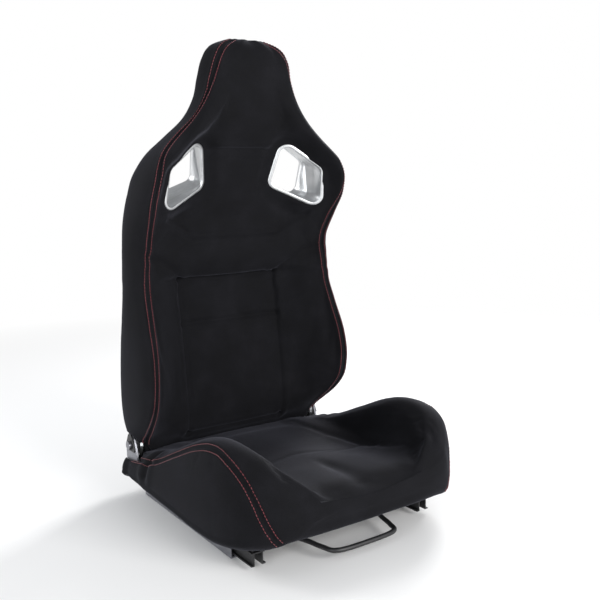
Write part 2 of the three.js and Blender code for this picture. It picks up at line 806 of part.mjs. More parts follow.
// ---- Covers and foams ----------------------------------------------------------------
function bothSides(geometry) {
  return [geometry, mirrored(geometry)];
}

// Cutters for both harness openings and the seats of their lips.
function openingTools(sleeveGap) {
  return [
    ...bothSides(tunnelTool(BEZEL_WALL + sleeveGap, -60, 280)),
    ...bothSides(flangeSeatTool(frontPlaneY, BEZEL_PLATE + GAP, -70)),
    ...bothSides(flangeSeatTool(rearPlaneY, -BEZEL_PLATE - GAP, 70)),
  ];
}

// Space in the backrest for the recliner arm and its spring.
function reclinerTools() {
  const armSlot = box(
    ARM_INNER - GAP, ARM_OUTER + GAP, PIVOT_Y - ARM_SLOT_HALF, PIVOT_Y + ARM_SLOT_HALF,
    PIVOT_Z, ARM_TOP + 1,
  );
  return [...bothSides(rodX(214.5, 262, PIVOT_Y, PIVOT_Z, 31.5, 20)), ...bothSides(armSlot)];
}

function backCover() {
  const outer = backBody(0, 0, 0, RING_SAMPLES);
  const inner = backBody(COVER_THICKNESS, -6, COVER_THICKNESS, RING_SAMPLES);
  return cut(outer, inner, ...openingTools(GAP), ...reclinerTools());
}

function backFoam() {
  const body = backBody(FOAM_INSET, 4, FOAM_INSET + 0.4, RING_SAMPLES);
  const rearPocket = box(-POCKET_HALF, POCKET_HALF, POCKET_FRONT, 260, POCKET_LOW, POCKET_HIGH);
  return cut(
    body, rearPocket, backLowerTube(GAP), backHoop(GAP, 38, 8),
    ...bothSides(wingWire(GAP, 14, 6)),
    ...openingTools(GAP + 0.4), ...reclinerTools(),
  );
}

// Tape that closes the rear seam, lying just above the cover surface.
function edgeStrip() {
  const rings = [];
  for (const row of BACK_LEVELS) {
    if (row[0] >= 131 && row[0] <= 640) {
      const loop = smoothLoop(backOutline(row), RING_SAMPLES);
      const near = loop[3];
      const far = loop[4];
      const length = Math.hypot(far[0] - near[0], far[1] - near[1]);
      const along = [(far[0] - near[0]) / length, (far[1] - near[1]) / length];
      const out = [-along[1], along[0]];
      const put = (share, lift) => [
        near[0] + (far[0] - near[0]) * share + out[0] * lift,
        near[1] + (far[1] - near[1]) * share + out[1] * lift,
        row[0],
      ];
      rings.push([put(0.42, 1.2), put(0.72, 1.2), put(0.72, 2.6), put(0.42, 2.6)]);
    }
  }
  return skin(rings);
}

// Trough in the cushion that the rounded foot of the backrest turns in.
function hingeGroove(halfWidth, grow) {
  const points = [[118, 133 - grow], [136 - grow, 122 - grow]];
  for (let degrees = -160; degrees <= 0; degrees += 16) {
    points.push(aroundPivot(degrees, HINGE_GROOVE + grow));
  }
  points.push([PIVOT_Y + HINGE_GROOVE + grow, 260], [100, 260], [100, 133 - grow]);
  return plateYZ(polygon(points), -halfWidth, halfWidth);
}

function cushionCover() {
  const outer = cushionBody(0, 0, 0, RING_SAMPLES);
  const inner = cushionBody(COVER_THICKNESS, COVER_THICKNESS, 30, RING_SAMPLES);
  const grooveOuter = hingeGroove(226, 0);
  const grooveInner = hingeGroove(231, COVER_THICKNESS);
  const shellInner = toSolid(inner).subtract(toSolid(grooveInner));
  const shell = toSolid(outer).subtract(toSolid(grooveOuter)).subtract(shellInner);
  return cut(toGeometry(shell), ...bothSides(recessBox()), ...bothSides(hubClearance()), rodHole());
}

// Space in the rear corner of the cushion for the recliner plates.
function recessBox() {
  return box(225, 238.6, 138, 240, 30, 200);
}

// Round space in the cushion side for the pivot bolt.
function hubClearance() {
  return rodX(225, 262, PIVOT_Y, PIVOT_Z, 20, 24);
}

function rodHole() {
  return rodX(236, 262, ROD_Y, ROD_Z, ROD_RADIUS + 2, 12);
}

function cushionFoam() {
  const body = cushionBody(FOAM_INSET, FOAM_INSET, -4, RING_SAMPLES);
  const groove = hingeGroove(260, COVER_THICKNESS + 1.4);
  const pocket = box(-206, 206, -262, 136.5, -10, 92);
  const sideSlot = box(192, 262, 135, 240, -10, 58.5);
  const sideRecess = box(220.5, 262, 135, 240, 50, 200);
  const rodSlot = rodX(-262, 262, ROD_Y, ROD_Z, ROD_RADIUS + 1.5, 12);
  return cut(body, groove, pocket, ...bothSides(sideSlot), ...bothSides(sideRecess), rodSlot);
}

// ---- Assembly ------------------------------------------------------------------------
addPair('lower_rail', lowerRail(), zinc);
addPair('ball_cage', ballCage(), springSteel);
addPair('upper_rail', upperRail(), blackSteel);
addPair('cushion_side_frame', cushionSideFrame(), blackSteel);
addPair('frame_bolt_front', frameBolt(FRAME_BOLT_Y[0]), zinc);
addPair('frame_bolt_rear', frameBolt(FRAME_BOLT_Y[1]), zinc);
addPair('bracket_bolt', bracketBolt(), zinc);
addMesh('cushion_front_tube', cushionTube(CUSHION_TUBE_FRONT), blackSteel);
addMesh('cushion_rear_tube', cushionTube(CUSHION_TUBE_REAR), blackSteel);
['left', 'middle', 'right'].forEach((side, i) => {
  addMesh(`cushion_spring_${side}`, cushionSpring(CUSHION_SPRING_SPACING * (1 - i)), springSteel);
});
addMesh('cushion_foam', cushionFoam(), foam);
addMesh('cushion_cover', cushionCover(), fabric);

addMesh('slide_handle', slideHandle(), blackSteel);
addPair('slide_latch', slideLatch(), zinc);

addPair('recliner_bracket', reclinerBracket(), zinc);
addPair('recliner_cover', reclinerCover(), blackSteel);
addPair('pivot_bolt', pivotBolt(), zinc);
addPair('pivot_nut', pivotNut(), zinc);
addMesh('recline_rod', rodX(-236.5, 261.8, ROD_Y, ROD_Z, ROD_RADIUS, 12), blackSteel);
addPair('recliner_pawl', reclinerPawl(), springSteel);
addMesh('recline_lever', reclineLever(), blackSteel);
addMesh('lever_grip', leverGrip(), blackPlastic);

addMesh('back_hoop', backHoop(0, 38, 8), blackSteel);
addMesh('back_lower_tube', backLowerTube(0), blackSteel);
addPair('wing_wire', wingWire(0, 14, 6), springSteel);
addMesh('back_spring_upper', backSpring(BACK_SPRING_Z.upper), springSteel);
addMesh('back_spring_lower', backSpring(BACK_SPRING_Z.lower), springSteel);
addMesh('back_foam', backFoam(), foam);
addMesh('back_cover', backCover(), fabric);
addPair('bezel_front', bezel(frontPlaneY, BEZEL_PLATE, BEZEL_SPLIT - 0.3), satinAluminium);
addPair('bezel_rear', bezel(rearPlaneY, -BEZEL_PLATE, BEZEL_SPLIT + 0.3), satinAluminium);
addPair('recliner_arm', reclinerArm(), blackSteel);
addPair('pivot_bush', pivotBush(), bronze);
addPair('recliner_spring', reclinerSpring(), springSteel);
addPair('edge_strip', edgeStrip(), trimTape);

group.position.set(-FOOTPRINT_X, -FOOTPRINT_Y, 0);

export default group;
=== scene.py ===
import json
import math

import bpy
import numpy as np
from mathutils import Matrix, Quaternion, Vector
from mathutils.bvhtree import BVHTree
from mathutils.kdtree import KDTree

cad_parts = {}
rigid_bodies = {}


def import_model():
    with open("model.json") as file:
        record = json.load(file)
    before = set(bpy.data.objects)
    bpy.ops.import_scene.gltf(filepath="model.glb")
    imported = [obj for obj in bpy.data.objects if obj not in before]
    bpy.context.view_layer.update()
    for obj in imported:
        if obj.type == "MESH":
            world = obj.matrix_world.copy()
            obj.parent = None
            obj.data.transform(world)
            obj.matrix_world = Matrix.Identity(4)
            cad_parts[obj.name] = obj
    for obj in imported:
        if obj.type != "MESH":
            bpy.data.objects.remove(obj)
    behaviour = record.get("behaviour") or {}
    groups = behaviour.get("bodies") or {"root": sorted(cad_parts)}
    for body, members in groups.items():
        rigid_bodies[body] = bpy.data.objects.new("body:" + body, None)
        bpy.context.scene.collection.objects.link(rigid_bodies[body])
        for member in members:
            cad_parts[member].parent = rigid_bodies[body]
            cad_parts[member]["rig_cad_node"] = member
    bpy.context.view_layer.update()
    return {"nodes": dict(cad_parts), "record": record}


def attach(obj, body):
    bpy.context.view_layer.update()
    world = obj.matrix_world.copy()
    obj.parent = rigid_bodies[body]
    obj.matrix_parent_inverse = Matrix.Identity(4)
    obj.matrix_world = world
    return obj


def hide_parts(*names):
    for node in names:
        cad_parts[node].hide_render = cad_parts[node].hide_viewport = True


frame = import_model()

MM = 0.001
# The tables are drawn about the middle of the rails; the frame's origin is the footprint's.
FRAME_SHIFT = np.array([-2.131, 47.0, 0.0])
PIVOT_Y = 187.0
PIVOT_Z = 112.0
HINGE_GROOVE = 31.0

# ---------------------------------------------------------------- section tables (mm)
# Backrest levels: z, half width, rear centre y, rear corner x and y, wing tip x and y,
# bolster foot x and y, front centre y.
BACK_LEVELS = np.array([
    [88, 200, 197, 190, 196, 192, 178, 120, 177, 177],
    [97, 213, 207, 202, 206, 202, 167, 124, 166, 166],
    [112, 224, 210, 214, 208, 216, 160, 128, 157, 157],
    [131, 237, 215, 227, 210, 226, 148, 130, 141, 141],
    [152, 244, 218, 235, 211, 234, 124, 131, 134, 134],
    [180, 249, 221, 240, 210, 241, 90, 133, 132, 133],
    [210, 252, 222, 242, 208, 245, 63, 133, 134, 135],
    [260, 253, 222, 242, 206, 246, 48, 131, 139, 141],
    [320, 251, 219, 241, 204, 243, 53, 129, 147, 149],
    [390, 246, 215, 239, 201, 238, 80, 127, 158, 161],
    [446, 243, 211, 237, 197, 235, 99, 125, 166, 170],
    [456, 243, 210, 237, 196, 235, 100, 126, 165, 168],
    [464, 243, 210, 237, 196, 234, 102, 127, 152, 155],
    [474, 243, 209, 237, 195, 234, 102, 128, 146, 149],
    [490, 243, 208, 237, 193, 233, 103, 131, 139, 142],
    [530, 243, 204, 236, 189, 231, 103, 135, 128, 132],
    [590, 244, 196, 236, 175, 233, 71, 150, 109, 127],
    [638, 240, 186, 232, 159, 229, 35, 157, 88, 116],
    [680, 231, 175, 224, 143, 213, 13, 152, 77, 104],
    [716, 208, 160, 200, 132, 186, 9, 138, 76, 93],
    [750, 172, 147, 163, 127, 155, 16, 110, 70, 77],
    [786, 132, 139, 122, 123, 120, 24, 74, 46, 50],
    [826, 109, 133, 99, 118, 99, 29, 44, 29, 31],
    [869, 102, 120, 90, 109, 90, 31, 40, 27, 27],
    [904, 94, 107, 80, 98, 84, 35, 36, 31, 30],
    [923, 83, 98, 69, 91, 73, 41, 32, 36, 35],
    [935, 68, 90, 54, 85, 56, 49, 24, 46, 45],
    [941, 46, 82, 36, 78, 36, 57, 14, 55, 55],
], float)

# Cushion stations: y, half width, underside z, bolster top x and z, bolster foot x and z,
# centre z.
CUSHION_STATIONS = np.array([
    [229, 222, 50, 202, 76, 130, 82, 83],
    [222, 236, 45, 214, 82, 132, 91, 93],
    [180, 247, 43, 226, 94, 134, 106, 109],
    [130, 250, 41, 228, 108, 136, 112, 116],
    [50, 252, 38, 229, 131, 138, 114, 119],
    [-40, 252, 36, 229, 170, 138, 114, 121],
    [-125, 252, 34, 228, 206, 138, 116, 124],
    [-185, 250, 36, 226, 221, 138, 120, 128],
    [-234, 244, 44, 221, 219, 138, 124, 131],
    [-270, 230, 52, 207, 204, 134, 128, 132],
    [-298, 206, 62, 184, 174, 120, 131, 130],
    [-315, 176, 78, 156, 148, 90, 127, 125],
    [-323, 138, 97, 122, 126, 62, 117, 116],
], float)

# Where the stitched side seams run: row place, then place round the section.
BACK_SEAM = np.array([
    [88, 4.7], [110, 4.9], [150, 5.15], [225, 5.2], [354, 5.15], [464, 5.15], [540, 5.3],
    [600, 5.2], [645, 4.6], [688, 4.05], [725, 3.8], [760, 3.8], [800, 3.95], [847, 4.25],
    [890, 4.65], [920, 5.0], [938, 5.3], [946, 5.4],
])
CUSHION_SEAM = np.array([
    [200, 4.35], [172, 4.3], [80, 4.25], [0, 4.3], [-80, 4.3], [-160, 4.3], [-205, 4.22],
    [-240, 4.0], [-268, 3.82], [-286, 3.6], [-296, 3.3], [-302, 2.9], [-305, 2.4], [-305, 2.0],
])
REAR_SEAM = np.array([
    [88, 1.75], [136, 1.9], [169, 1.75], [220, 1.6], [288, 1.58], [355, 1.52], [436, 1.5],
    [517, 1.62], [583, 1.74], [645, 1.86], [700, 1.9], [800, 1.9], [964, 1.9],
])
CROWN = 941.0
CROWN_ROUND_FROM = 923.0
BACK_FOOT = 118.0
INSERT_HALF = 119.0
INSERT_TOP = 459.0
INSERT_MIDDLE = 363.0
INSERT_BOTTOM = 126.0
RECESS_LOW = 548.0
RECESS_HALF = 104.0
RECESS_TOP = 726.0
NECK_SOFTNESS = 220
CROWN_SOFTNESS = 12
RECESS_DEPTH = 11.0
INSERT_DEPTH = 3.5
SEAM_GAP = 6.5
NOSE_SOFTNESS = 160
REAR_DIP = 5.0


# ---------------------------------------------------------------- curve and grid helpers
def smooth(t):
    t = np.clip(t, 0.0, 1.0)
    return t * t * (3.0 - 2.0 * t)


def rows_at(table, places):
    """Cubic interpolation of the table's columns at the given first-column places."""
    keys = table[:, 0]
    slope = np.gradient(table, keys, axis=0)
    i = np.clip(np.searchsorted(keys, places, side="right") - 1, 0, len(keys) - 2)
    h = (keys[i + 1] - keys[i])[:, None]
    w = (places - keys[i])[:, None] / h
    return (
        (2 * w**3 - 3 * w**2 + 1) * table[i]
        + (w**3 - 2 * w**2 + w) * h * slope[i]
        + (-2 * w**3 + 3 * w**2) * table[i + 1]
        + (w**3 - w**2) * h * slope[i + 1]
    )


def closed_curve(points, places):
    """Closed centripetal Catmull-Rom curve; a place is a control point's index."""
    n = len(points)
    i = np.floor(places).astype(int) % n
    w = (places - np.floor(places))[:, None]
    p0, p1, p2, p3 = points[(i - 1) % n], points[i], points[(i + 1) % n], points[(i + 2) % n]

    def spacing(a, b):
        return np.maximum(np.sum((a - b) ** 2, -1) ** 0.25, 1e-4)[:, None]

    d0, d1, d2 = spacing(p0, p1), spacing(p1, p2), spacing(p2, p3)
    t1 = ((p1 - p0) / d0 - (p2 - p0) / (d0 + d1) + (p2 - p1) / d1) * d1
    t2 = ((p2 - p1) / d1 - (p3 - p1) / (d1 + d2) + (p3 - p2) / d2) * d2
    return (
        p1 + w * t1
        + w**2 * (-3 * p1 + 3 * p2 - 2 * t1 - t2)
        + w**3 * (2 * p1 - 2 * p2 + t1 + t2)
    )


def clustered(stops, pitch, squeeze):
    """Places between the stops, packed closer next to each stop."""
    out = []
    for a, b in zip(stops[:-1], stops[1:]):
        n = max(2, int(round(abs(b - a) / pitch)))
        t = np.arange(n) / n
        out.extend(a + (b - a) * (t - squeeze * np.sin(2 * np.pi * t) / (2 * np.pi)))
    out.append(stops[-1])
    return np.array(out)


def half_places(stops, counts, squeeze):
    """Section places from rear centre to front centre with fixed counts between stops."""
    out = []
    for a, b, n in zip(stops[:-1], stops[1:], counts):
        t = np.arange(n) / n
        out.extend(a + (b - a) * (t - squeeze * np.sin(2 * np.pi * t) / (2 * np.pi)))
    out.append(stops[-1])
    half = np.array(out)
    return np.concatenate([half, 16.0 - half[-2:0:-1]])


def two_sided(side, first, last):
    """Full section from its +X side points, listed from the first to the last centre point."""
    side = np.array(side, float)
    other = side[::-1] * np.array([-1.0, 1.0])
    return np.vstack([[first], side, [last], other])


def grid_mesh(name, rings):
    """Closed body from rings that hold the same number of points, capped at both ends."""
    rows, cols = rings.shape[:2]
    verts = rings.reshape(-1, 3)
    faces = []
    for r in range(rows - 1):
        for c in range(cols):
            k = (c + 1) % cols
            faces.append((r * cols + c, (r + 1) * cols + c, (r + 1) * cols + k, r * cols + k))
    verts = np.vstack([verts, rings[0].mean(0), rings[-1].mean(0)])
    low, high = rows * cols, rows * cols + 1
    for c in range(cols):
        k = (c + 1) % cols
        faces.append((low, c, k))
        faces.append((high, (rows - 1) * cols + k, (rows - 1) * cols + c))
    return new_object(name, verts, faces)


def relax(rings, weight, turns):
    """Softens part of a ring grid by pulling points towards their four neighbours."""
    w = weight[..., None]
    for _ in range(turns):
        across = 0.5 * (np.roll(rings, 1, axis=1) + np.roll(rings, -1, axis=1))
        along = rings.copy()
        along[1:-1] = 0.5 * (rings[2:] + rings[:-2])
        rings = rings + w * (0.5 * (across + along) - rings)
    return rings


def to_metres(points):
    return (np.asarray(points, float) + FRAME_SHIFT) * MM


def to_millimetres(points):
    return np.asarray(points, float) / MM - FRAME_SHIFT


def signed_volume(verts, faces):
    total = 0.0
    for f in faces[:: max(1, len(faces) // 20000)]:
        a, b, c = verts[f[0]], verts[f[1]], verts[f[2]]
        total += float(np.dot(a, np.cross(b, c)))
        if len(f) == 4:
            total += float(np.dot(a, np.cross(c, verts[f[3]])))
    return total


def shade(mesh, is_smooth):
    mesh.polygons.foreach_set("use_smooth", [is_smooth] * len(mesh.polygons))


def linked_mesh(name, verts, faces):
    """Mesh object from millimetre points, shaded smooth, with the faces as they are given."""
    mesh = bpy.data.meshes.new(name)
    mesh.from_pydata([tuple(v) for v in to_metres(verts)], [], faces)
    mesh.update()
    shade(mesh, True)
    obj = bpy.data.objects.new(name, mesh)
    bpy.context.scene.collection.objects.link(obj)
    return obj


def new_object(name, verts, faces):
    """Mesh object from millimetre points, its faces turned outward and shaded smooth."""
    verts = np.asarray(verts, float)
    if signed_volume(verts - verts.mean(0), faces) < 0:
        faces = [tuple(reversed(f)) for f in faces]
    return linked_mesh(name, verts, faces)


def points_of(obj):
    co = np.empty(len(obj.data.vertices) * 3)
    obj.data.vertices.foreach_get("co", co)
    return to_millimetres(co.reshape(-1, 3))


def put_points(obj, co):
    obj.data.vertices.foreach_set("co", to_metres(co).astype(np.float32).ravel())
    obj.data.update()


def normals_of(obj):
    n = np.empty(len(obj.data.vertices) * 3)
    obj.data.vertices.foreach_get("normal", n)
    return n.reshape(-1, 3)


def face_tree(co, obj):
    """Search tree over an object's faces with its points at the given places."""
    return BVHTree.FromPolygons([tuple(p) for p in co],
                                [tuple(p.vertices) for p in obj.data.polygons])


def surface_tree(obj):
    return face_tree(points_of(obj), obj)


def point_tree(points):
    tree = KDTree(len(points))
    for i, p in enumerate(points):
        tree.insert(Vector(p), i)
    tree.balance()
    return tree


def apply_modifiers(obj):
    """Bakes the modifier stack of an object into its mesh."""
    graph = bpy.context.evaluated_depsgraph_get()
    graph.update()
    baked = bpy.data.meshes.new_from_object(obj.evaluated_get(graph))
    obj.modifiers.clear()
    old = obj.data
    obj.data = baked
    bpy.data.meshes.remove(old)


def cut_away(obj, tools):
    """Subtracts closed tool meshes from an object and removes the tools."""
    for tool in tools:
        m = obj.modifiers.new("cut", "BOOLEAN")
        m.operation = "DIFFERENCE"
        m.object = tool
        m.solver = "MANIFOLD"
    bpy.context.view_layer.update()
    apply_modifiers(obj)
    for tool in tools:
        bpy.data.objects.remove(tool)


# ---------------------------------------------------------------- backrest surface
BAND_RISE_TIP = 50.0
BAND_RISE_FOOT = 4.0


def back_section(row, foot_row, inner_row):
    _, half, rear_y, corner_x, corner_y, tip_x, tip_y, foot_x, foot_y, front_y = row
    soft = min(22.0, (corner_y - tip_y) * 0.28)
    inner_y = tip_y + (inner_row[8] - tip_y) * 0.3
    side = [
        [corner_x * 0.55, rear_y - (rear_y - corner_y) * 0.12],
        [corner_x - soft * 0.55, corner_y + soft * 0.1],
        [half, corner_y - soft],
        [tip_x + (half - tip_x) * 0.6, tip_y + soft],
        [tip_x - soft * 0.45, tip_y],
        [tip_x - soft * 1.7, inner_y],
        [foot_x, foot_row[8]],
    ]
    return two_sided(side, [0.0, rear_y], [0.0, front_y])


def insert_place(section):
    """Section place where the front surface is as wide as the insert."""
    t = np.linspace(6.2, 8.0, 60)
    x = closed_curve(section, t)[:, 0]
    return float(np.interp(-INSERT_HALF, -x, t))


def back_grid():
    """Rings of the backrest, their levels, and the columns at which its seams run."""
    stops = [88, INSERT_BOTTOM, INSERT_MIDDLE, INSERT_TOP, RECESS_LOW, RECESS_TOP, CROWN]
    levels = clustered(stops, 3.8, 0.4)
    rows = rows_at(BACK_LEVELS, levels)
    foot = rows_at(BACK_LEVELS, np.clip(levels - BAND_RISE_FOOT, 88, CROWN))
    inner = rows_at(BACK_LEVELS, np.clip(levels - BAND_RISE_TIP, 88, CROWN))
    above = smooth((levels - 330) / 60) * (1 - smooth((levels - 600) / 60))
    inner = rows + (inner - rows) * above[:, None]
    seam = np.interp(levels, BACK_SEAM[:, 0], BACK_SEAM[:, 1])
    seam = np.convolve(np.pad(seam, 6, mode="edge"), np.ones(13) / 13, "valid")
    rear = np.interp(levels, REAR_SEAM[:, 0], REAR_SEAM[:, 1])
    counts = [28, 40, 46, 32]
    rings = []
    for k, z in enumerate(levels):
        section = back_section(rows[k], foot[k], inner[k])
        edge = insert_place(section)
        edge += (7.0 - edge) * float(smooth((z - 560) / 120.0))
        places = half_places([0.0, rear[k], seam[k], edge, 8.0], counts, 0.45)
        flat = closed_curve(section, places)
        rings.append(np.column_stack([flat, np.full(len(flat), z)]))
    columns = np.cumsum([0] + counts)
    rings = np.array(rings)
    cols = rings.shape[1]
    front = np.zeros(cols)
    front[columns[2] + 3:cols - columns[2] - 2] = 1.0
    front = np.convolve(np.pad(front, 4), np.ones(9) / 9, "valid")
    neck = smooth((levels - 705) / 30.0) * (1 - smooth((levels - 860) / 40.0))
    rings = relax(rings, 0.8 * neck[:, None] * front[None, :], NECK_SOFTNESS)
    crown = smooth((levels - CROWN_ROUND_FROM) / 10.0) * (levels < CROWN - 1)
    rings = relax(rings, 0.7 * crown[:, None] * np.ones((1, cols)), CROWN_SOFTNESS)
    return rings, levels, columns


# ---------------------------------------------------------------- harness openings
OPENING_CORNERS = [(100, 741, 15), (181, 690, 17), (187, 607, 15), (84, 647, 15)]
TUNNEL_RISE = 0.25
TUNNEL_FROM = 83.0
BEZEL_LIP = 8.0
BEZEL_WALL = 2.4
BEZEL_PLATE = 2.6
BEZEL_SPLIT = 118.0


def front_plane(x, z):
    return 83 - 0.47 * (x - 135) - 0.23 * (z - 670)


def rear_plane(x, z):
    return 148 - 0.12 * (x - 135) - 0.42 * (z - 685)


def opening_loop(grow, corner_points=9):
    """Rounded outline of one opening as x and z, grown outward by a distance."""
    loop = []
    n = len(OPENING_CORNERS)
    for i, (x, z, rounding) in enumerate(OPENING_CORNERS):
        corner = np.array([x, z], float)
        before = np.array(OPENING_CORNERS[i - 1][:2], float) - corner
        after = np.array(OPENING_CORNERS[(i + 1) % n][:2], float) - corner
        before /= np.linalg.norm(before)
        after /= np.linalg.norm(after)
        angle = math.acos(float(before @ after))
        inward = (before + after) / np.linalg.norm(before + after)
        centre = corner + inward * rounding / math.sin(angle / 2)
        away = corner - centre
        middle = math.atan2(away[1], away[0])
        for k in range(corner_points):
            a = middle + (math.pi - angle) * (0.5 - k / (corner_points - 1))
            loop.append(centre + (rounding + grow) * np.array([math.cos(a), math.sin(a)]))
    return np.array(loop)


def distance_to_loop(px, pz, loop):
    """Signed distance from points to a closed outline, negative inside."""
    p = np.column_stack([px, pz])
    a = loop
    b = np.roll(loop, -1, axis=0)
    best = np.full(len(p), 1e9)
    inside = np.zeros(len(p), bool)
    for s, e in zip(a, b):
        d = e - s
        t = np.clip(((p - s) @ d) / (d @ d), 0, 1)
        best = np.minimum(best, np.linalg.norm(p - (s + t[:, None] * d), axis=1))
        crosses = (s[1] > p[:, 1]) != (e[1] > p[:, 1])
        with np.errstate(divide="ignore", invalid="ignore"):
            at = s[0] + (p[:, 1] - s[1]) * (e[0] - s[0]) / (e[1] - s[1])
        inside ^= crosses & (p[:, 0] < at)
    return np.where(inside, -best, best)


def tunnel_tool(side, grow):
    """Closed prism that clears one opening through the backrest."""
    loop = opening_loop(grow)
    ends = []
    for y in (-80.0, 300.0):
        ring = np.column_stack([
            side * loop[:, 0],
            np.full(len(loop), y),
            loop[:, 1] + (y - TUNNEL_FROM) * TUNNEL_RISE,
        ])
        ends.append(ring)
    return grid_mesh("tunnel_tool", np.array(ends))


def seat_for_bezels(co, nrm):
    """Draws the cloth next to an opening onto the plane its lip sits on."""
    x, y, z = co[:, 0], co[:, 1], co[:, 2]
    flat_z = z - (y - TUNNEL_FROM) * TUNNEL_RISE
    near = distance_to_loop(np.abs(x), flat_z, opening_loop(BEZEL_LIP))
    pull = 1.0 - smooth((near - 5.0) / 30.0)
    lip = front_plane(np.abs(x), flat_z)
    back = rear_plane(np.abs(x), flat_z)
    front = (nrm[:, 1] < -0.1) | ((y < lip) & (nrm[:, 1] < 0.3))
    rear = ~front & (nrm[:, 1] > 0.1)
    target = np.where(front, lip + 1.2, back - 1.2)
    zone = (z > 560) & (z < 800) & (front | rear) & (np.abs(x) < 222)
    pull = np.where(zone, pull, 0.0)
    out = co.copy()
    out[:, 1] = y + pull * (target - y)
    return out, pull


# ---------------------------------------------------------------- fields on the backrest
def recess_field(x, z):
    """0 to 1: how far a point is inside the recessed middle panel."""
    ax = np.abs(x)
    low = RECESS_LOW + np.maximum(ax - RECESS_HALF, 0) * 0.6
    up = smooth((z - low) / 5.0)
    top = 1 - smooth((z - RECESS_TOP + 6) / 6.0)
    wide = np.interp(z, [540, 590, 640, 660, 700, 740], [190, 186, 150, 92, 84, 78])
    side = 1 - smooth((ax - wide + 8) / 14.0)
    shallow = 1 - 0.6 * smooth((z - 590) / 50.0)
    return up * top * side * shallow


def insert_field(x, z):
    """0 to 1: how far a point is inside the set-back lumbar insert."""
    across = smooth((INSERT_HALF + 1 - np.abs(x)) / 8.0)
    return across * smooth((INSERT_TOP + 4 - z) / 6.0) * smooth((z - INSERT_BOTTOM) / 8.0)


def crown_field(x, z):
    """Gentle swelling of the insert and the band, in millimetres towards the front."""
    ax = np.abs(x)
    across = 1 - smooth((ax - 70) / 60.0)
    lumbar = np.exp(-((z - 225) / 75.0) ** 2) * 3.0
    upper = np.exp(-((z - 412) / 34.0) ** 2) * 2.2
    band = np.exp(-((z - 506) / 30.0) ** 2) * 4.0 * (1 - smooth((ax - 150) / 50.0))
    return across * (lumbar + upper) + band


# ---------------------------------------------------------------- seams
# Depth and width in millimetres of the groove of each kind of seam.
BACK_GROOVES = {
    "seam": (3.2, 3.4), "rear": (2.0, 3.2), "insert": (3.4, 4.6), "band": (3.0, 6.0),
    "recess": (4.2, 4.4), "head": (4.6, 4.4),
}
CUSHION_GROOVES = {"seam": (3.2, 3.4), "foot": (1.0, 6.0), "hump": (5.0, 9.0)}


def nearest_distance(points, line):
    """Distance from each point to a densely sampled line."""
    tree = point_tree(line)
    return np.array([tree.find(Vector(p))[2] for p in points])


def groove(distance, depth, width):
    """Valley with a soft roll on both sides of it."""
    valley = -depth * np.exp(-((distance / width) ** 2))
    roll = 0.35 * depth * np.exp(-(((distance - 2.6 * width) / (1.3 * width)) ** 2))
    return valley + roll


def seam_depth(co, lines, grooves):
    """How far each point moves along its normal for the seams, the kind being a name's start."""
    total = np.zeros(len(co))
    for name, line in lines.items():
        if len(line) > 1:
            deep, wide = grooves[name.split("_")[0]]
            total += groove(nearest_distance(co, resample(line, 1.5)), deep, wide)
    return total


def resample(line, pitch):
    line = np.asarray(line, float)
    step = np.linalg.norm(np.diff(line, axis=0), axis=1)
    along = np.concatenate([[0], np.cumsum(step)])
    n = max(2, int(along[-1] / pitch))
    at = np.linspace(0, along[-1], n)
    return np.column_stack([np.interp(at, along, line[:, k]) for k in range(3)])


def directions(path):
    ahead = np.gradient(path, axis=0)
    return ahead / np.linalg.norm(ahead, axis=1)[:, None]


def even_line(line, pitch=2.0, reach=7):
    """Resampled line with its small wobbles averaged out; the ends stay."""
    line = resample(line, pitch)
    kernel = np.hanning(reach + 2)[1:-1]
    kernel /= kernel.sum()
    half = reach // 2
    padded = np.vstack([2 * line[0] - line[half:0:-1], line, 2 * line[-1] - line[-2:-half - 2:-1]])
    return np.column_stack([np.convolve(padded[:, k], kernel, "valid") for k in range(3)])


def front_line(tree, points, pitch=2.0):
    """Drops x, z points onto the front of a surface and samples the line densely."""
    dense = resample([[x, 0.0, z] for x, z in points], pitch)
    out = []
    for x, _, z in dense:
        hit = tree.ray_cast(Vector((x, -600.0, z)), Vector((0, 1, 0)))
        if hit[0] is not None:
            out.append(tuple(hit[0]))
    return np.array(out)


# ---------------------------------------------------------------- cloth
CLOTH_VOXEL = 7.0
CLOTH_PRESSURE = 3.0
CLOTH_FRAMES = 20
CLOTH_CAP = 6.0


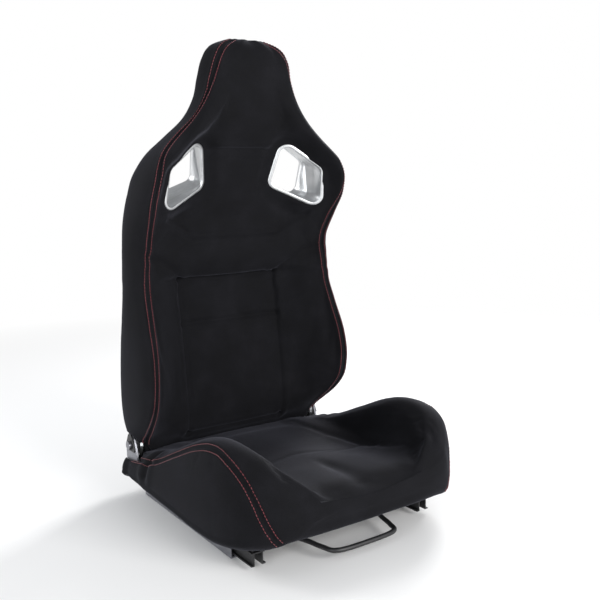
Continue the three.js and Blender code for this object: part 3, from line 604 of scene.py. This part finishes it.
def pillow(base, pinned):
    """Cloth-simulated swelling of a closed form, as a displacement for its own points.

    A remeshed copy is blown up with its seams pinned; what each point moved is then
    read back onto the fine mesh, so that the seams stay where they are."""
    work = base.copy()
    work.data = base.data.copy()
    work.name = "cloth_work"
    bpy.context.scene.collection.objects.link(work)
    m = work.modifiers.new("voxels", "REMESH")
    m.mode = "VOXEL"
    m.voxel_size = CLOTH_VOXEL * MM
    apply_modifiers(work)
    rest = points_of(work)
    tree = point_tree(pinned)
    group = work.vertex_groups.new(name="pin")
    for i, p in enumerate(rest):
        if tree.find(Vector(p))[2] < CLOTH_VOXEL * 0.8:
            group.add([i], 1.0, "REPLACE")
    cloth = work.modifiers.new("cloth", "CLOTH")
    s = cloth.settings
    s.use_pressure = True
    s.uniform_pressure_force = CLOTH_PRESSURE
    s.vertex_group_mass = "pin"
    s.effector_weights.gravity = 0
    s.quality = 4
    s.tension_stiffness = 18
    s.compression_stiffness = 18
    s.bending_stiffness = 0.6
    cloth.point_cache.frame_start = 1
    cloth.point_cache.frame_end = CLOTH_FRAMES
    scene = bpy.context.scene
    for f in range(1, CLOTH_FRAMES + 1):
        scene.frame_set(f)
    graph = bpy.context.evaluated_depsgraph_get()
    moved_mesh = work.evaluated_get(graph).to_mesh()
    moved = np.empty(len(moved_mesh.vertices) * 3)
    moved_mesh.vertices.foreach_get("co", moved)
    delta = to_millimetres(moved.reshape(-1, 3)) - rest
    size = np.linalg.norm(delta, axis=1)
    print("cloth", base.name, len(rest), "points, median", round(float(np.median(size)), 2),
          "mm, most", round(float(size.max()), 2))
    capped = CLOTH_CAP * np.tanh(size / CLOTH_CAP)
    delta *= (capped / np.maximum(size, 1e-6))[:, None]
    scene.frame_set(1)
    bpy.data.objects.remove(work)
    lookup = point_tree(rest)
    out = np.zeros((len(base.data.vertices), 3))
    for i, p in enumerate(points_of(base)):
        total = 0.0
        for _, j, d in lookup.find_n(Vector(p), 5):
            w = 1.0 / (d + 0.8) ** 2
            out[i] += w * delta[j]
            total += w
        out[i] /= total
    return out


# ---------------------------------------------------------------- backrest build
def build_back():
    rings, levels, columns = back_grid()
    rows, cols = rings.shape[:2]
    body = grid_mesh("back_upholstery", rings)
    co = points_of(body)
    nrm = normals_of(body)
    front = smooth((-nrm[:, 1] - 0.15) / 0.3)
    co[:, 1] += front * RECESS_DEPTH * recess_field(co[:, 0], co[:, 2])
    co[:, 1] -= front * crown_field(co[:, 0], co[:, 2])
    co[:, 1] += front * INSERT_DEPTH * insert_field(co[:, 0], co[:, 2])
    co, bezel_pull = seat_for_bezels(co, nrm)
    put_points(body, co)

    tree = face_tree(co, body)
    lines = {}
    ring_of = co[: rows * cols].reshape(rows, cols, 3)
    for sign, name in ((1, "left"), (-1, "right")):
        seam_col = columns[2] if sign > 0 else cols - columns[2]
        rear_col = columns[1] if sign > 0 else cols - columns[1]
        lines["seam_" + name] = even_line(ring_of[2:rows - 1, seam_col])
        lines["rear_" + name] = even_line(ring_of[:, rear_col][levels < 668])
        lines["insert_" + name] = front_line(tree, [
            (sign * INSERT_HALF, INSERT_TOP), (sign * INSERT_HALF, INSERT_BOTTOM)])
        lines["band_" + name] = front_line(tree, [
            (sign * INSERT_HALF, INSERT_TOP), (sign * 150, 484), (sign * 190, 508),
            (sign * 216, 516)])
    for name, z in (("top", INSERT_TOP), ("middle", INSERT_MIDDLE), ("bottom", INSERT_BOTTOM)):
        lines["insert_" + name] = front_line(tree, [(-INSERT_HALF, z), (INSERT_HALF, z)])
    lines["recess_low"] = front_line(tree, [(-170, 587), (-RECESS_HALF, RECESS_LOW),
                                            (RECESS_HALF, RECESS_LOW), (170, 587)])
    lines["head_low"] = front_line(tree, [(-80, RECESS_TOP), (80, RECESS_TOP)])

    pins = np.vstack([resample(line, 4.0) for line in lines.values() if len(line) > 1])
    held = co[(bezel_pull > 0.3) | (co[:, 2] < BACK_FOOT)]
    pins = np.vstack([pins, held])
    shift = pillow(body, pins)
    above_foot = smooth((co[:, 2] - BACK_FOOT) / 30.0)
    co = co + shift * (1 - bezel_pull)[:, None] * above_foot[:, None]
    put_points(body, co)
    plain = surface_tree(body)

    nrm = normals_of(body)
    total = seam_depth(co, lines, BACK_GROOVES)
    co = co + nrm * (total * (1 - bezel_pull))[:, None]
    put_points(body, co)
    return body, lines, plain


# ---------------------------------------------------------------- cushion build
def cushion_section(row):
    _, half, low, tip_x, tip_z, foot_x, foot_z, centre_z = row
    soft = min(24.0, (tip_z - low) * 0.3)
    side = [
        [half * 0.7, low],
        [half - soft * 0.3, low + soft * 0.15],
        [half, low + soft],
        [tip_x + (half - tip_x) * 0.75, tip_z - soft],
        [tip_x - soft * 0.4, tip_z],
        [tip_x - soft * 1.7, tip_z + (foot_z - tip_z) * 0.12],
        [foot_x + 12, foot_z + (tip_z - foot_z) * 0.1],
    ]
    return two_sided(side, [0.0, low], [0.0, centre_z])


def cushion_grid():
    table = CUSHION_STATIONS.copy()
    table[:, 0] *= -1
    stations = np.concatenate([clustered([-229, -150, 60, 150, 240], 3.8, 0.0)[:-1],
                               clustered([240, 298, 323], 2.6, 0.0)])
    rows = rows_at(table, stations)
    counts = [16, 42, 36, 40]
    rings = []
    for k, row in enumerate(rows):
        section = cushion_section(row)
        places = half_places([0.0, 2.0, 4.3, 6.5, 8.0], counts, 0.0)
        flat = closed_curve(section, places)
        rings.append(np.column_stack([flat[:, 0], np.full(len(flat), -stations[k]), flat[:, 1]]))
    rings = np.array(rings)
    columns = np.cumsum([0] + counts)
    cols = rings.shape[1]
    top = np.zeros(cols)
    top[columns[2] + 6:cols - columns[2] - 5] = 1.0
    top = np.convolve(np.pad(top, 6), np.ones(13) / 13, "valid")
    nose = smooth((stations - 120) / 120.0) * (1 - smooth((stations - 317) / 5.0))
    rings = relax(rings, 0.8 * nose[:, None] * top[None, :], NOSE_SOFTNESS)
    return rings


def cushion_seam_line(side):
    """The side seam: back along the bolster's shoulder, down the nose to the underside."""
    table = CUSHION_STATIONS.copy()
    table[:, 0] *= -1
    n = len(CUSHION_SEAM)
    t = np.linspace(0, n - 1, 30 * n)
    y = np.interp(t, np.arange(n), CUSHION_SEAM[:, 0])
    s = np.interp(t, np.arange(n), CUSHION_SEAM[:, 1])
    out = []
    for row, place in zip(rows_at(table, -y), s):
        x, z = closed_curve(cushion_section(row), np.array([place]))[0]
        out.append([side * x, -row[0], z])
    return even_line(out, 2.0, 21)


def cushion_fold(co):
    """Widening fold in the front half of the seat between two thigh pads, in millimetres."""
    x, y = co[:, 0], co[:, 1]
    reach = np.clip((-y - 140) / 150.0, 0, 1)
    along = smooth((-y - 140) / 70.0) * (1 - smooth((-y - 292) / 26.0))
    wide = 8.0 + 14.0 * reach
    fold = -6.0 * np.exp(-(((x + 4) / wide) ** 2)) * along
    pads = 2.5 * (np.exp(-(((x - 60) / 36.0) ** 2)) + np.exp(-(((x + 60) / 36.0) ** 2))) * along
    dip = -REAR_DIP * smooth((y + 160) / 110.0) * (1 - smooth((np.abs(x) - 110) / 40.0))
    return fold + pads + dip


def place_round_pivot(degrees, radius):
    a = math.radians(degrees)
    return (PIVOT_Y + radius * math.cos(a), PIVOT_Z + radius * math.sin(a))


def prism_x(name, outline, x0, x1):
    """Closed prism along X from a y, z outline."""
    ring = np.array(outline, float)
    ends = [np.column_stack([np.full(len(ring), x), ring]) for x in (x0, x1)]
    return grid_mesh(name, np.array(ends))


def hinge_groove_tool():
    outline = [(118.0, 133.0), (136.0, 122.0)]
    outline += [place_round_pivot(d, HINGE_GROOVE) for d in range(-160, 1, 8)]
    outline += [(PIVOT_Y + HINGE_GROOVE, 260.0), (100.0, 260.0), (100.0, 133.0)]
    return prism_x("groove_tool", outline, -226.0, 226.0)


def box_tool(x0, x1, y0, y1, z0, z1):
    return prism_x("box_tool", [(y0, z0), (y1, z0), (y1, z1), (y0, z1)], x0, x1)


def disc_tool(x0, x1, y, z, radius, sides=40):
    turn = np.linspace(0, 2 * np.pi, sides, endpoint=False)
    return prism_x("disc_tool", [(y + radius * math.cos(t), z + radius * math.sin(t))
                                 for t in turn], x0, x1)


def mirrored_tools(make):
    return [make(1), make(-1)]


def build_cushion():
    body = grid_mesh("cushion_upholstery", cushion_grid())
    co = points_of(body)
    nrm = normals_of(body)
    top = smooth((nrm[:, 2] - 0.1) / 0.3) + smooth((-nrm[:, 1] - 0.4) / 0.4) * 0.6
    co[:, 2] += np.clip(top, 0, 1) * cushion_fold(co)
    put_points(body, co)
    lines = {"seam_left": cushion_seam_line(1), "seam_right": cushion_seam_line(-1)}
    tree = face_tree(co, body)

    def top_line(points):
        dense = resample([[x, y, 0.0] for x, y in points], 2.0)
        hits = [tree.ray_cast(Vector((x, y, 500.0)), Vector((0, 0, -1)))[0] for x, y, _ in dense]
        return np.array([tuple(h) for h in hits if h is not None])

    for sign, name in ((1, "left"), (-1, "right")):
        lines["foot_" + name] = top_line([(sign * 136, 120), (sign * 140, -120),
                                          (sign * 145, -160)])
        path = resample([[sign * 260, 92, 150], [sign * 260, 84, 120], [sign * 260, 92, 78]], 2.0)
        hits = [tree.ray_cast(Vector(p), Vector((-sign, 0, 0)))[0] for p in path]
        lines["hump_" + name] = np.array([tuple(h) for h in hits if h is not None])
    pins = np.vstack([resample(line, 4.0) for line in lines.values()])
    held = co[(co[:, 2] < 60) | (co[:, 1] > 120)]
    pins = np.vstack([pins, held])
    shift = pillow(body, pins)
    free = smooth((co[:, 2] - 52) / 22.0) * (1 - smooth((co[:, 1] - 90) / 50.0))
    co = co + shift * free[:, None]
    put_points(body, co)
    plain = surface_tree(body)
    nrm = normals_of(body)
    co = co + nrm * seam_depth(co, lines, CUSHION_GROOVES)[:, None]
    put_points(body, co)
    return body, lines, plain


# ---------------------------------------------------------------- stitches
STITCH_PITCH = 6.0
STITCH_LENGTH = 4.5
STITCH_RADIUS = 0.62


def stitch_run(name, line, plain, tree):
    """Short raised stitches in two rows along a seam line, all in one mesh."""
    verts, faces = [], []
    turn = np.linspace(0, 2 * np.pi, 6, endpoint=False)
    shares = [(-0.5, 0.25), (-0.34, 0.95), (0.34, 0.95), (0.5, 0.25)]
    path = resample(line, STITCH_PITCH)
    ahead = directions(path)
    for p, t in zip(path, ahead):
        n = np.array(plain.find_nearest(Vector(p))[1])
        side = np.cross(n, t)
        side /= max(np.linalg.norm(side), 1e-6)
        for off in (-SEAM_GAP, SEAM_GAP):
            spot = p + side * off
            near = tree.find_nearest(Vector(spot))
            centre = np.array(near[0])
            n2 = 0.5 * (np.array(near[1]) + n)
            n2 /= np.linalg.norm(n2)
            t2 = t - n2 * (t @ n2)
            t2 /= max(np.linalg.norm(t2), 1e-6)
            s2 = np.cross(n2, t2)
            start = len(verts)
            for share, fat in shares:
                mid = centre + t2 * share * STITCH_LENGTH + n2 * (0.25 + 0.35 * (fat - 0.25))
                for a in turn:
                    verts.append(mid + STITCH_RADIUS * fat * (s2 * math.cos(a)
                                                       + n2 * 0.8 * math.sin(a)))
            for r in range(3):
                for c in range(6):
                    k = (c + 1) % 6
                    faces.append((start + r * 6 + c, start + r * 6 + k,
                                  start + (r + 1) * 6 + k, start + (r + 1) * 6 + c))
            faces.append(tuple(start + c for c in reversed(range(6))))
            faces.append(tuple(start + 18 + c for c in range(6)))
    return linked_mesh(name, verts, faces)


def trim_strip(name, line, tree, half_width, lift, thick):
    """Flat tape that follows a line on a surface, slightly rounded across."""
    path = resample(line, 5.0)
    ahead = directions(path)
    across = [(-1.0, 0.0), (-0.9, 0.8), (-0.5, 1.0), (0.0, 1.08), (0.5, 1.0), (0.9, 0.8),
              (1.0, 0.0), (0.6, -0.6), (-0.6, -0.6)]
    rings = []
    for k, (p, t) in enumerate(zip(path, ahead)):
        n = np.array(tree.find_nearest(Vector(p))[1])
        side = np.cross(n, t)
        side /= np.linalg.norm(side)
        w = half_width(k / (len(path) - 1))
        rings.append([
            np.array(tree.find_nearest(Vector(p + side * u * w))[0]) + n * (lift + thick * v)
            for u, v in across
        ])
    return grid_mesh(name, np.array(rings))


# ---------------------------------------------------------------- bezels
def bezel_mesh(name, side, plane, sign, split_y):
    """Half of a harness guide: rounded lip on the cloth and a sleeve to the split line."""
    def ring(grow, depth, on_plane=True):
        loop = opening_loop(grow, 12)
        x, z = loop[:, 0], loop[:, 1]
        y = plane(x, z) + sign * depth if on_plane else np.full(len(x), depth)
        zz = z + (y - TUNNEL_FROM) * TUNNEL_RISE
        return np.column_stack([side * x, y, zz])

    rings = [
        ring(0.0, split_y, False),
        ring(0.0, 5.0),
        ring(0.15, 1.6),
        ring(0.9, 0.35),
        ring(2.2, 0.0),
        ring(5.6, 0.25),
        ring(7.2, 0.9),
        ring(8.0, 1.9),
        ring(8.0, BEZEL_PLATE),
        ring(BEZEL_WALL, BEZEL_PLATE),
        ring(BEZEL_WALL, split_y, False),
    ]
    count = len(rings[0])
    verts = np.vstack(rings)
    faces = []
    total = len(rings)
    for r in range(total):
        nxt = (r + 1) % total
        for c in range(count):
            k = (c + 1) % count
            faces.append((r * count + c, nxt * count + c, nxt * count + k, r * count + k))
    return new_object(name, verts, faces)


# ---------------------------------------------------------------- handle tube
def swept_tube(name, points, radius, sides=16, pitch=3.0):
    """Round tube along a smooth line through the points."""
    pts = np.array(points, float)
    ends = [2 * pts[0] - pts[1]], [2 * pts[-1] - pts[-2]]
    ctrl = np.vstack([ends[0], pts, ends[1]])
    line = []
    for i in range(1, len(ctrl) - 2):
        p0, p1, p2, p3 = ctrl[i - 1:i + 3]
        n = max(2, int(np.linalg.norm(p2 - p1) / pitch))
        for t in np.arange(n) / n:
            line.append(0.5 * (2 * p1 + (p2 - p0) * t + (2 * p0 - 5 * p1 + 4 * p2 - p3) * t**2
                               + (3 * p1 - p0 - 3 * p2 + p3) * t**3))
    line.append(pts[-1])
    line = np.array(line)
    ahead = directions(line)
    turn = np.linspace(0, 2 * np.pi, sides, endpoint=False)
    up = np.array([0.0, 0.0, 1.0])
    rings = []
    for p, t in zip(line, ahead):
        u = up - t * (up @ t)
        u /= np.linalg.norm(u)
        v = np.cross(t, u)
        rings.append([p + radius * (u * math.cos(a) + v * math.sin(a)) for a in turn])
    return grid_mesh(name, np.array(rings))


# ---------------------------------------------------------------- materials
def material(name):
    m = bpy.data.materials.new(name)
    m.use_nodes = True
    tree = m.node_tree
    return m, tree.nodes, tree.links, tree.nodes["Principled BSDF"]


def texture(nodes, links, kind, scale, **inputs):
    """A procedural texture in object space, scaled per metre."""
    where = nodes.new("ShaderNodeTexCoord")
    tex = nodes.new(kind)
    links.new(where.outputs["Object"], tex.inputs["Vector"])
    if "Scale" in tex.inputs:
        tex.inputs["Scale"].default_value = scale
    for key, value in inputs.items():
        tex.inputs[key].default_value = value
    return tex


def ramp(nodes, links, source, stops):
    r = nodes.new("ShaderNodeValToRGB")
    for element, (place, colour) in zip(r.color_ramp.elements, (stops[0], stops[-1])):
        element.position = place
        element.color = (*colour, 1)
    for place, colour in stops[1:-1]:
        e = r.color_ramp.elements.new(place)
        e.color = (*colour, 1)
    links.new(source, r.inputs["Fac"])
    return r


def math_node(nodes, links, operation, a, b):
    n = nodes.new("ShaderNodeMath")
    n.operation = operation
    for i, v in enumerate((a, b)):
        if isinstance(v, (int, float)):
            n.inputs[i].default_value = v
        else:
            links.new(v, n.inputs[i])
    return n.outputs[0]


def settle(node, **values):
    """Sets a node's inputs; an underscore in a name stands for a space."""
    for key, value in values.items():
        node.inputs[key.replace("_", " ")].default_value = value


def bumped(nodes, links, shader, height, strength, distance):
    bump = nodes.new("ShaderNodeBump")
    settle(bump, Strength=strength, Distance=distance)
    links.new(height, bump.inputs["Height"])
    links.new(bump.outputs["Normal"], shader.inputs["Normal"])


def suede():
    """Short brushed cloth: nap patches, fine fibres and a soft sheen."""
    m, nodes, links, shader = material("suede_cloth")
    nap = texture(nodes, links, "ShaderNodeTexNoise", 16, Detail=5, Roughness=0.6)
    fibre = texture(nodes, links, "ShaderNodeTexNoise", 900, Detail=3, Roughness=0.7)
    grain = texture(nodes, links, "ShaderNodeTexVoronoi", 620)
    mixed = math_node(nodes, links, "MULTIPLY_ADD", nap.outputs["Fac"], 0.7)
    links.new(math_node(nodes, links, "MULTIPLY", fibre.outputs["Fac"], 0.3),
              mixed.node.inputs[2])
    colour = ramp(nodes, links, mixed, [(0.3, (0.0034, 0.0034, 0.0041)),
                                        (0.52, (0.006, 0.006, 0.0073)),
                                        (0.75, (0.0105, 0.0103, 0.0125))])
    links.new(colour.outputs["Color"], shader.inputs["Base Color"])
    rough = ramp(nodes, links, nap.outputs["Fac"], [(0.3, (0.82,) * 3), (0.7, (0.95,) * 3)])
    links.new(rough.outputs["Color"], shader.inputs["Roughness"])
    settle(shader, Specular_IOR_Level=0.09, Sheen_Weight=0.09, Sheen_Roughness=0.4,
           Sheen_Tint=(0.62, 0.63, 0.78, 1))
    height = math_node(nodes, links, "ADD", fibre.outputs["Fac"],
                       math_node(nodes, links, "MULTIPLY", grain.outputs["Distance"], 0.6))
    bumped(nodes, links, shader, height, 0.45, 0.0006)
    return m


def thread():
    """Twisted red sewing thread."""
    m, nodes, links, shader = material("red_thread")
    twist = texture(nodes, links, "ShaderNodeTexNoise", 1400, Detail=2)
    colour = ramp(nodes, links, twist.outputs["Fac"], [(0.35, (0.09, 0.004, 0.009)),
                                                       (0.65, (0.24, 0.013, 0.024))])
    links.new(colour.outputs["Color"], shader.inputs["Base Color"])
    settle(shader, Roughness=0.6, Sheen_Weight=0.3)
    bumped(nodes, links, shader, twist.outputs["Fac"], 0.5, 0.0003)
    return m


def woven_tape():
    """Dark grey woven closing tape with fine cross ribs."""
    m, nodes, links, shader = material("woven_tape")
    ribs = texture(nodes, links, "ShaderNodeTexWave", 420, Distortion=0.6, Detail=1.0)
    ribs.bands_direction = "Z"
    wear = texture(nodes, links, "ShaderNodeTexNoise", 60, Detail=4)
    both = math_node(nodes, links, "MULTIPLY", ribs.outputs["Fac"], wear.outputs["Fac"])
    colour = ramp(nodes, links, both, [(0.1, (0.026, 0.026, 0.03)), (0.6, (0.07, 0.07, 0.08))])
    links.new(colour.outputs["Color"], shader.inputs["Base Color"])
    settle(shader, Roughness=0.62, Sheen_Weight=0.2)
    bumped(nodes, links, shader, ribs.outputs["Fac"], 0.5, 0.0005)
    return m


def metal(name, low, high, rough_low, rough_high, metallic, stretch, scale, bump_mm):
    """Metal whose grain is a noise drawn out along one direction."""
    m, nodes, links, shader = material(name)
    where = nodes.new("ShaderNodeTexCoord")
    warp = nodes.new("ShaderNodeMapping")
    warp.inputs["Scale"].default_value = stretch
    links.new(where.outputs["Object"], warp.inputs["Vector"])
    grain = nodes.new("ShaderNodeTexNoise")
    settle(grain, Scale=scale, Detail=4)
    links.new(warp.outputs["Vector"], grain.inputs["Vector"])
    wear = texture(nodes, links, "ShaderNodeTexNoise", 30, Detail=6, Roughness=0.65)
    both = math_node(nodes, links, "MULTIPLY_ADD", grain.outputs["Fac"], 0.5)
    links.new(math_node(nodes, links, "MULTIPLY", wear.outputs["Fac"], 0.5),
              both.node.inputs[2])
    colour = ramp(nodes, links, both, [(0.35, low), (0.65, high)])
    links.new(colour.outputs["Color"], shader.inputs["Base Color"])
    rough = ramp(nodes, links, both, [(0.3, (rough_low,) * 3), (0.7, (rough_high,) * 3)])
    links.new(rough.outputs["Color"], shader.inputs["Roughness"])
    shader.inputs["Metallic"].default_value = metallic
    bumped(nodes, links, shader, grain.outputs["Fac"], 0.3, bump_mm * MM)
    return m


MATERIALS = {
    "fabric": suede(),
    "thread": thread(),
    "trim_tape": woven_tape(),
    "satin_aluminium": metal("satin_aluminium", (0.5, 0.51, 0.52), (0.68, 0.69, 0.7),
                             0.28, 0.42, 0.95, (1, 14, 1), 60, 0.15),
    "zinc_steel": metal("zinc_steel", (0.19, 0.192, 0.215), (0.33, 0.335, 0.36),
                        0.35, 0.55, 0.9, (6, 1, 6), 90, 0.1),
    "black_steel": metal("black_steel", (0.008, 0.008, 0.009), (0.018, 0.018, 0.02),
                         0.38, 0.55, 0.1, (1, 1, 1), 700, 0.12),
    "spring_steel": metal("spring_steel", (0.2, 0.21, 0.22), (0.36, 0.37, 0.39),
                          0.3, 0.5, 0.95, (1, 1, 1), 200, 0.08),
    "bronze": metal("bronze", (0.4, 0.27, 0.12), (0.6, 0.43, 0.2),
                    0.3, 0.45, 0.95, (1, 1, 1), 200, 0.05),
    "black_plastic": metal("black_plastic", (0.01, 0.01, 0.011), (0.022, 0.022, 0.024),
                           0.5, 0.65, 0.0, (1, 1, 1), 900, 0.2),
}


def dress(obj, slot, look=None):
    """Gives a piece the material of its record slot, or of the given look instead."""
    obj.data.materials.clear()
    obj.data.materials.append(MATERIALS[look or slot])


# ---------------------------------------------------------------- assembly
def sew(name, run, plain, tree, body_name):
    """Puts the double stitching along a seam and joins it to a moving body."""
    stitches = stitch_run(name, run, plain, tree)
    dress(stitches, "fabric", "thread")
    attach(stitches, body_name)


def finish_back():
    body, lines, plain = build_back()
    cut_away(body, [tunnel_tool(1, 3.0), tunnel_tool(-1, 3.0)]
             + mirrored_tools(lambda s: disc_tool(s * 214.5, s * 262, PIVOT_Y, PIVOT_Z, 31.5))
             + mirrored_tools(lambda s: box_tool(s * 225.5, s * 230.9, PIVOT_Y - 22.6,
                                                 PIVOT_Y + 22.6, PIVOT_Z, 237.0)))
    shade(body.data, True)
    dress(body, "fabric")
    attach(body, "backrest")
    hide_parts("back_cover", "back_foam")
    tree = surface_tree(body)
    for side in ("left", "right"):
        run = lines["seam_" + side]
        run = run[run[:, 2] > BACK_FOOT]
        sew("back_stitches_" + side, run, plain, tree, "backrest")
        rear = lines["rear_" + side]
        rear = rear[(rear[:, 2] > 128) & (rear[:, 2] < 640)]
        strip = trim_strip("rear_trim_" + side, rear, tree, lambda t: 5.5 + 4.0 * t, 0.3, 1.5)
        dress(strip, "trim_tape")
        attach(strip, "backrest")
        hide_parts("edge_strip_" + side)


def finish_cushion():
    body, lines, plain = build_cushion()
    tools = [hinge_groove_tool(), box_tool(-206, 206, -262, 136.5, -10, 92)]
    tools += mirrored_tools(lambda s: box_tool(s * 192, s * 238.6, 138, 240, -10, 58.5))
    tools += mirrored_tools(lambda s: box_tool(s * 220.5, s * 238.6, 138, 240, 50, 200))
    tools += mirrored_tools(lambda s: disc_tool(s * 222, s * 262, PIVOT_Y, PIVOT_Z, 20.0))
    tools.append(disc_tool(-240, 262, 150.0, 60.0, 5.6))
    cut_away(body, tools)
    shade(body.data, True)
    dress(body, "fabric")
    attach(body, "seat_base")
    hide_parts("cushion_cover", "cushion_foam")
    tree = surface_tree(body)
    for side in ("left", "right"):
        run = lines["seam_" + side]
        run = run[(run[:, 1] < 172) & (run[:, 2] > 62)]
        sew("cushion_stitches_" + side, run, plain, tree, "seat_base")


def finish_bezels():
    for side, name in ((1, "left"), (-1, "right")):
        a = bezel_mesh("harness_bezel_front_" + name, side, front_plane, 1.0,
                       BEZEL_SPLIT - 0.3)
        b = bezel_mesh("harness_bezel_rear_" + name, side, rear_plane, -1.0,
                       BEZEL_SPLIT + 0.3)
        for obj, node in ((a, "bezel_front_"), (b, "bezel_rear_")):
            dress(obj, "satin_aluminium")
            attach(obj, "backrest")
            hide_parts(node + name)


def finish_handle():
    half = [(178, -60, 27), (170, -60, 27), (160, -62, 27), (150, -80, 26), (132, -150, 24),
            (92, -226, 22), (79, -272, 21), (64, -298, 20.5)]
    full = half + [(0, -303, 20.5)] + [(-x, y, z) for x, y, z in reversed(half)]
    tube = swept_tube("slide_release_bar", full, 4.5)
    dress(tube, "black_steel")
    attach(tube, "slide_release")
    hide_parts("slide_handle")


def finish_cad_nodes():
    """CAD metal parts keep their shape and get rounded edges and their finish."""
    slots = {p["node"]: p["material_slot"] for p in frame["record"]["subparts"]}
    for node, obj in frame["nodes"].items():
        slot = slots[node]
        dress(obj, slot if slot in MATERIALS else "fabric")
        if obj.hide_render:
            continue
        bevel = obj.modifiers.new("soft_edges", "BEVEL")
        bevel.width = 0.0005
        bevel.segments = 2
        bevel.limit_method = "ANGLE"
        bevel.angle_limit = math.radians(35)
        bevel.harden_normals = False
        shade(obj.data, False)


# ---------------------------------------------------------------- stage
FLOOR_REACH = 60.0
FLOOR_FADE = (0.9, 2.6)


def studio():
    """White room: the background is white to the camera and soft grey as a light."""
    world = bpy.data.worlds.new("studio")
    world.use_nodes = True
    nodes, links = world.node_tree.nodes, world.node_tree.links
    soft = nodes["Background"]
    settle(soft, Color=(0.95, 0.97, 1.0, 1), Strength=0.42)
    plain = nodes.new("ShaderNodeBackground")
    plain.inputs["Color"].default_value = (1, 1, 1, 1)
    path = nodes.new("ShaderNodeLightPath")
    mix = nodes.new("ShaderNodeMixShader")
    links.new(path.outputs["Is Camera Ray"], mix.inputs["Fac"])
    links.new(soft.outputs["Background"], mix.inputs[1])
    links.new(plain.outputs["Background"], mix.inputs[2])
    links.new(mix.outputs["Shader"], nodes["World Output"].inputs["Surface"])
    bpy.context.scene.world = world
    bpy.context.scene.view_settings.view_transform = "Standard"

    floor_mesh = bpy.data.meshes.new("floor")
    far = FLOOR_REACH
    floor_mesh.from_pydata([(-far, -far, -0.0005), (far, -far, -0.0005),
                            (far, far, -0.0005), (-far, far, -0.0005)], [], [(0, 1, 2, 3)])
    floor = bpy.data.objects.new("floor", floor_mesh)
    bpy.context.scene.collection.objects.link(floor)
    m, nodes, links, shader = material("pale_floor")
    settle(shader, Base_Color=(0.88, 0.88, 0.88, 1), Roughness=0.9)
    place = nodes.new("ShaderNodeNewGeometry")
    reach = nodes.new("ShaderNodeVectorMath")
    reach.operation = "LENGTH"
    links.new(place.outputs["Position"], reach.inputs[0])
    fade = nodes.new("ShaderNodeMapRange")
    settle(fade, From_Min=FLOOR_FADE[0], From_Max=FLOOR_FADE[1])
    links.new(reach.outputs["Value"], fade.inputs["Value"])
    glow = nodes.new("ShaderNodeEmission")
    glow.inputs["Color"].default_value = (1, 1, 1, 1)
    mix = nodes.new("ShaderNodeMixShader")
    links.new(fade.outputs["Result"], mix.inputs["Fac"])
    links.new(shader.outputs["BSDF"], mix.inputs[1])
    links.new(glow.outputs["Emission"], mix.inputs[2])
    links.new(mix.outputs["Shader"], nodes["Material Output"].inputs["Surface"])
    floor_mesh.materials.append(m)

    def area(name, place, aim, size_m, power, colour):
        light = bpy.data.lights.new(name, "AREA")
        light.shape = "RECTANGLE"
        light.size = size_m[0]
        light.size_y = size_m[1]
        light.energy = power
        light.color = colour
        obj = bpy.data.objects.new(name, light)
        bpy.context.scene.collection.objects.link(obj)
        obj.location = place
        way = Vector(aim) - Vector(place)
        obj.rotation_mode = "QUATERNION"
        obj.rotation_quaternion = way.to_track_quat("-Z", "Y")

    area("key", (0.6, -2.8, 1.15), (0, 0, 0.45), (1.6, 1.6), 92, (1.0, 0.99, 0.98))
    area("fill", (-2.4, -1.4, 1.0), (0, 0, 0.45), (1.6, 1.6), 30, (0.95, 0.98, 1.0))
    area("rim_right", (2.0, 1.0, 1.5), (0, 0, 0.5), (0.8, 1.6), 55, (1.0, 1.0, 1.0))
    area("rim_left", (-1.7, 1.7, 1.4), (0, 0, 0.5), (0.8, 1.6), 26, (1.0, 1.0, 1.0))


CAMERA_AZIMUTH = -33.2
CAMERA_ELEVATION = 7.2
CAMERA_ROLL = -1.3
CAMERA_DISTANCE = 1.569
CAMERA_TARGET = (-0.002, 0.047, 0.45)
CAMERA_LENS = 46.4
CAMERA_SHIFT = (0.052, -0.0243)


def camera():
    data = bpy.data.cameras.new("camera")
    data.sensor_width = 36.0
    data.lens = CAMERA_LENS
    data.shift_x, data.shift_y = CAMERA_SHIFT
    data.clip_start = 0.05
    data.clip_end = 200.0
    obj = bpy.data.objects.new("camera", data)
    bpy.context.scene.collection.objects.link(obj)
    a = math.radians(CAMERA_AZIMUTH)
    e = math.radians(CAMERA_ELEVATION)
    back = Vector((math.sin(a) * math.cos(e), -math.cos(a) * math.cos(e), math.sin(e)))
    obj.location = Vector(CAMERA_TARGET) + back * CAMERA_DISTANCE
    obj.rotation_mode = "QUATERNION"
    aim = (-back).to_track_quat("-Z", "Y")
    obj.rotation_quaternion = aim @ Quaternion((0, 0, 1), math.radians(CAMERA_ROLL))
    bpy.context.scene.camera = obj


finish_back()
finish_cushion()
finish_bezels()
finish_handle()
finish_cad_nodes()
studio()
camera()
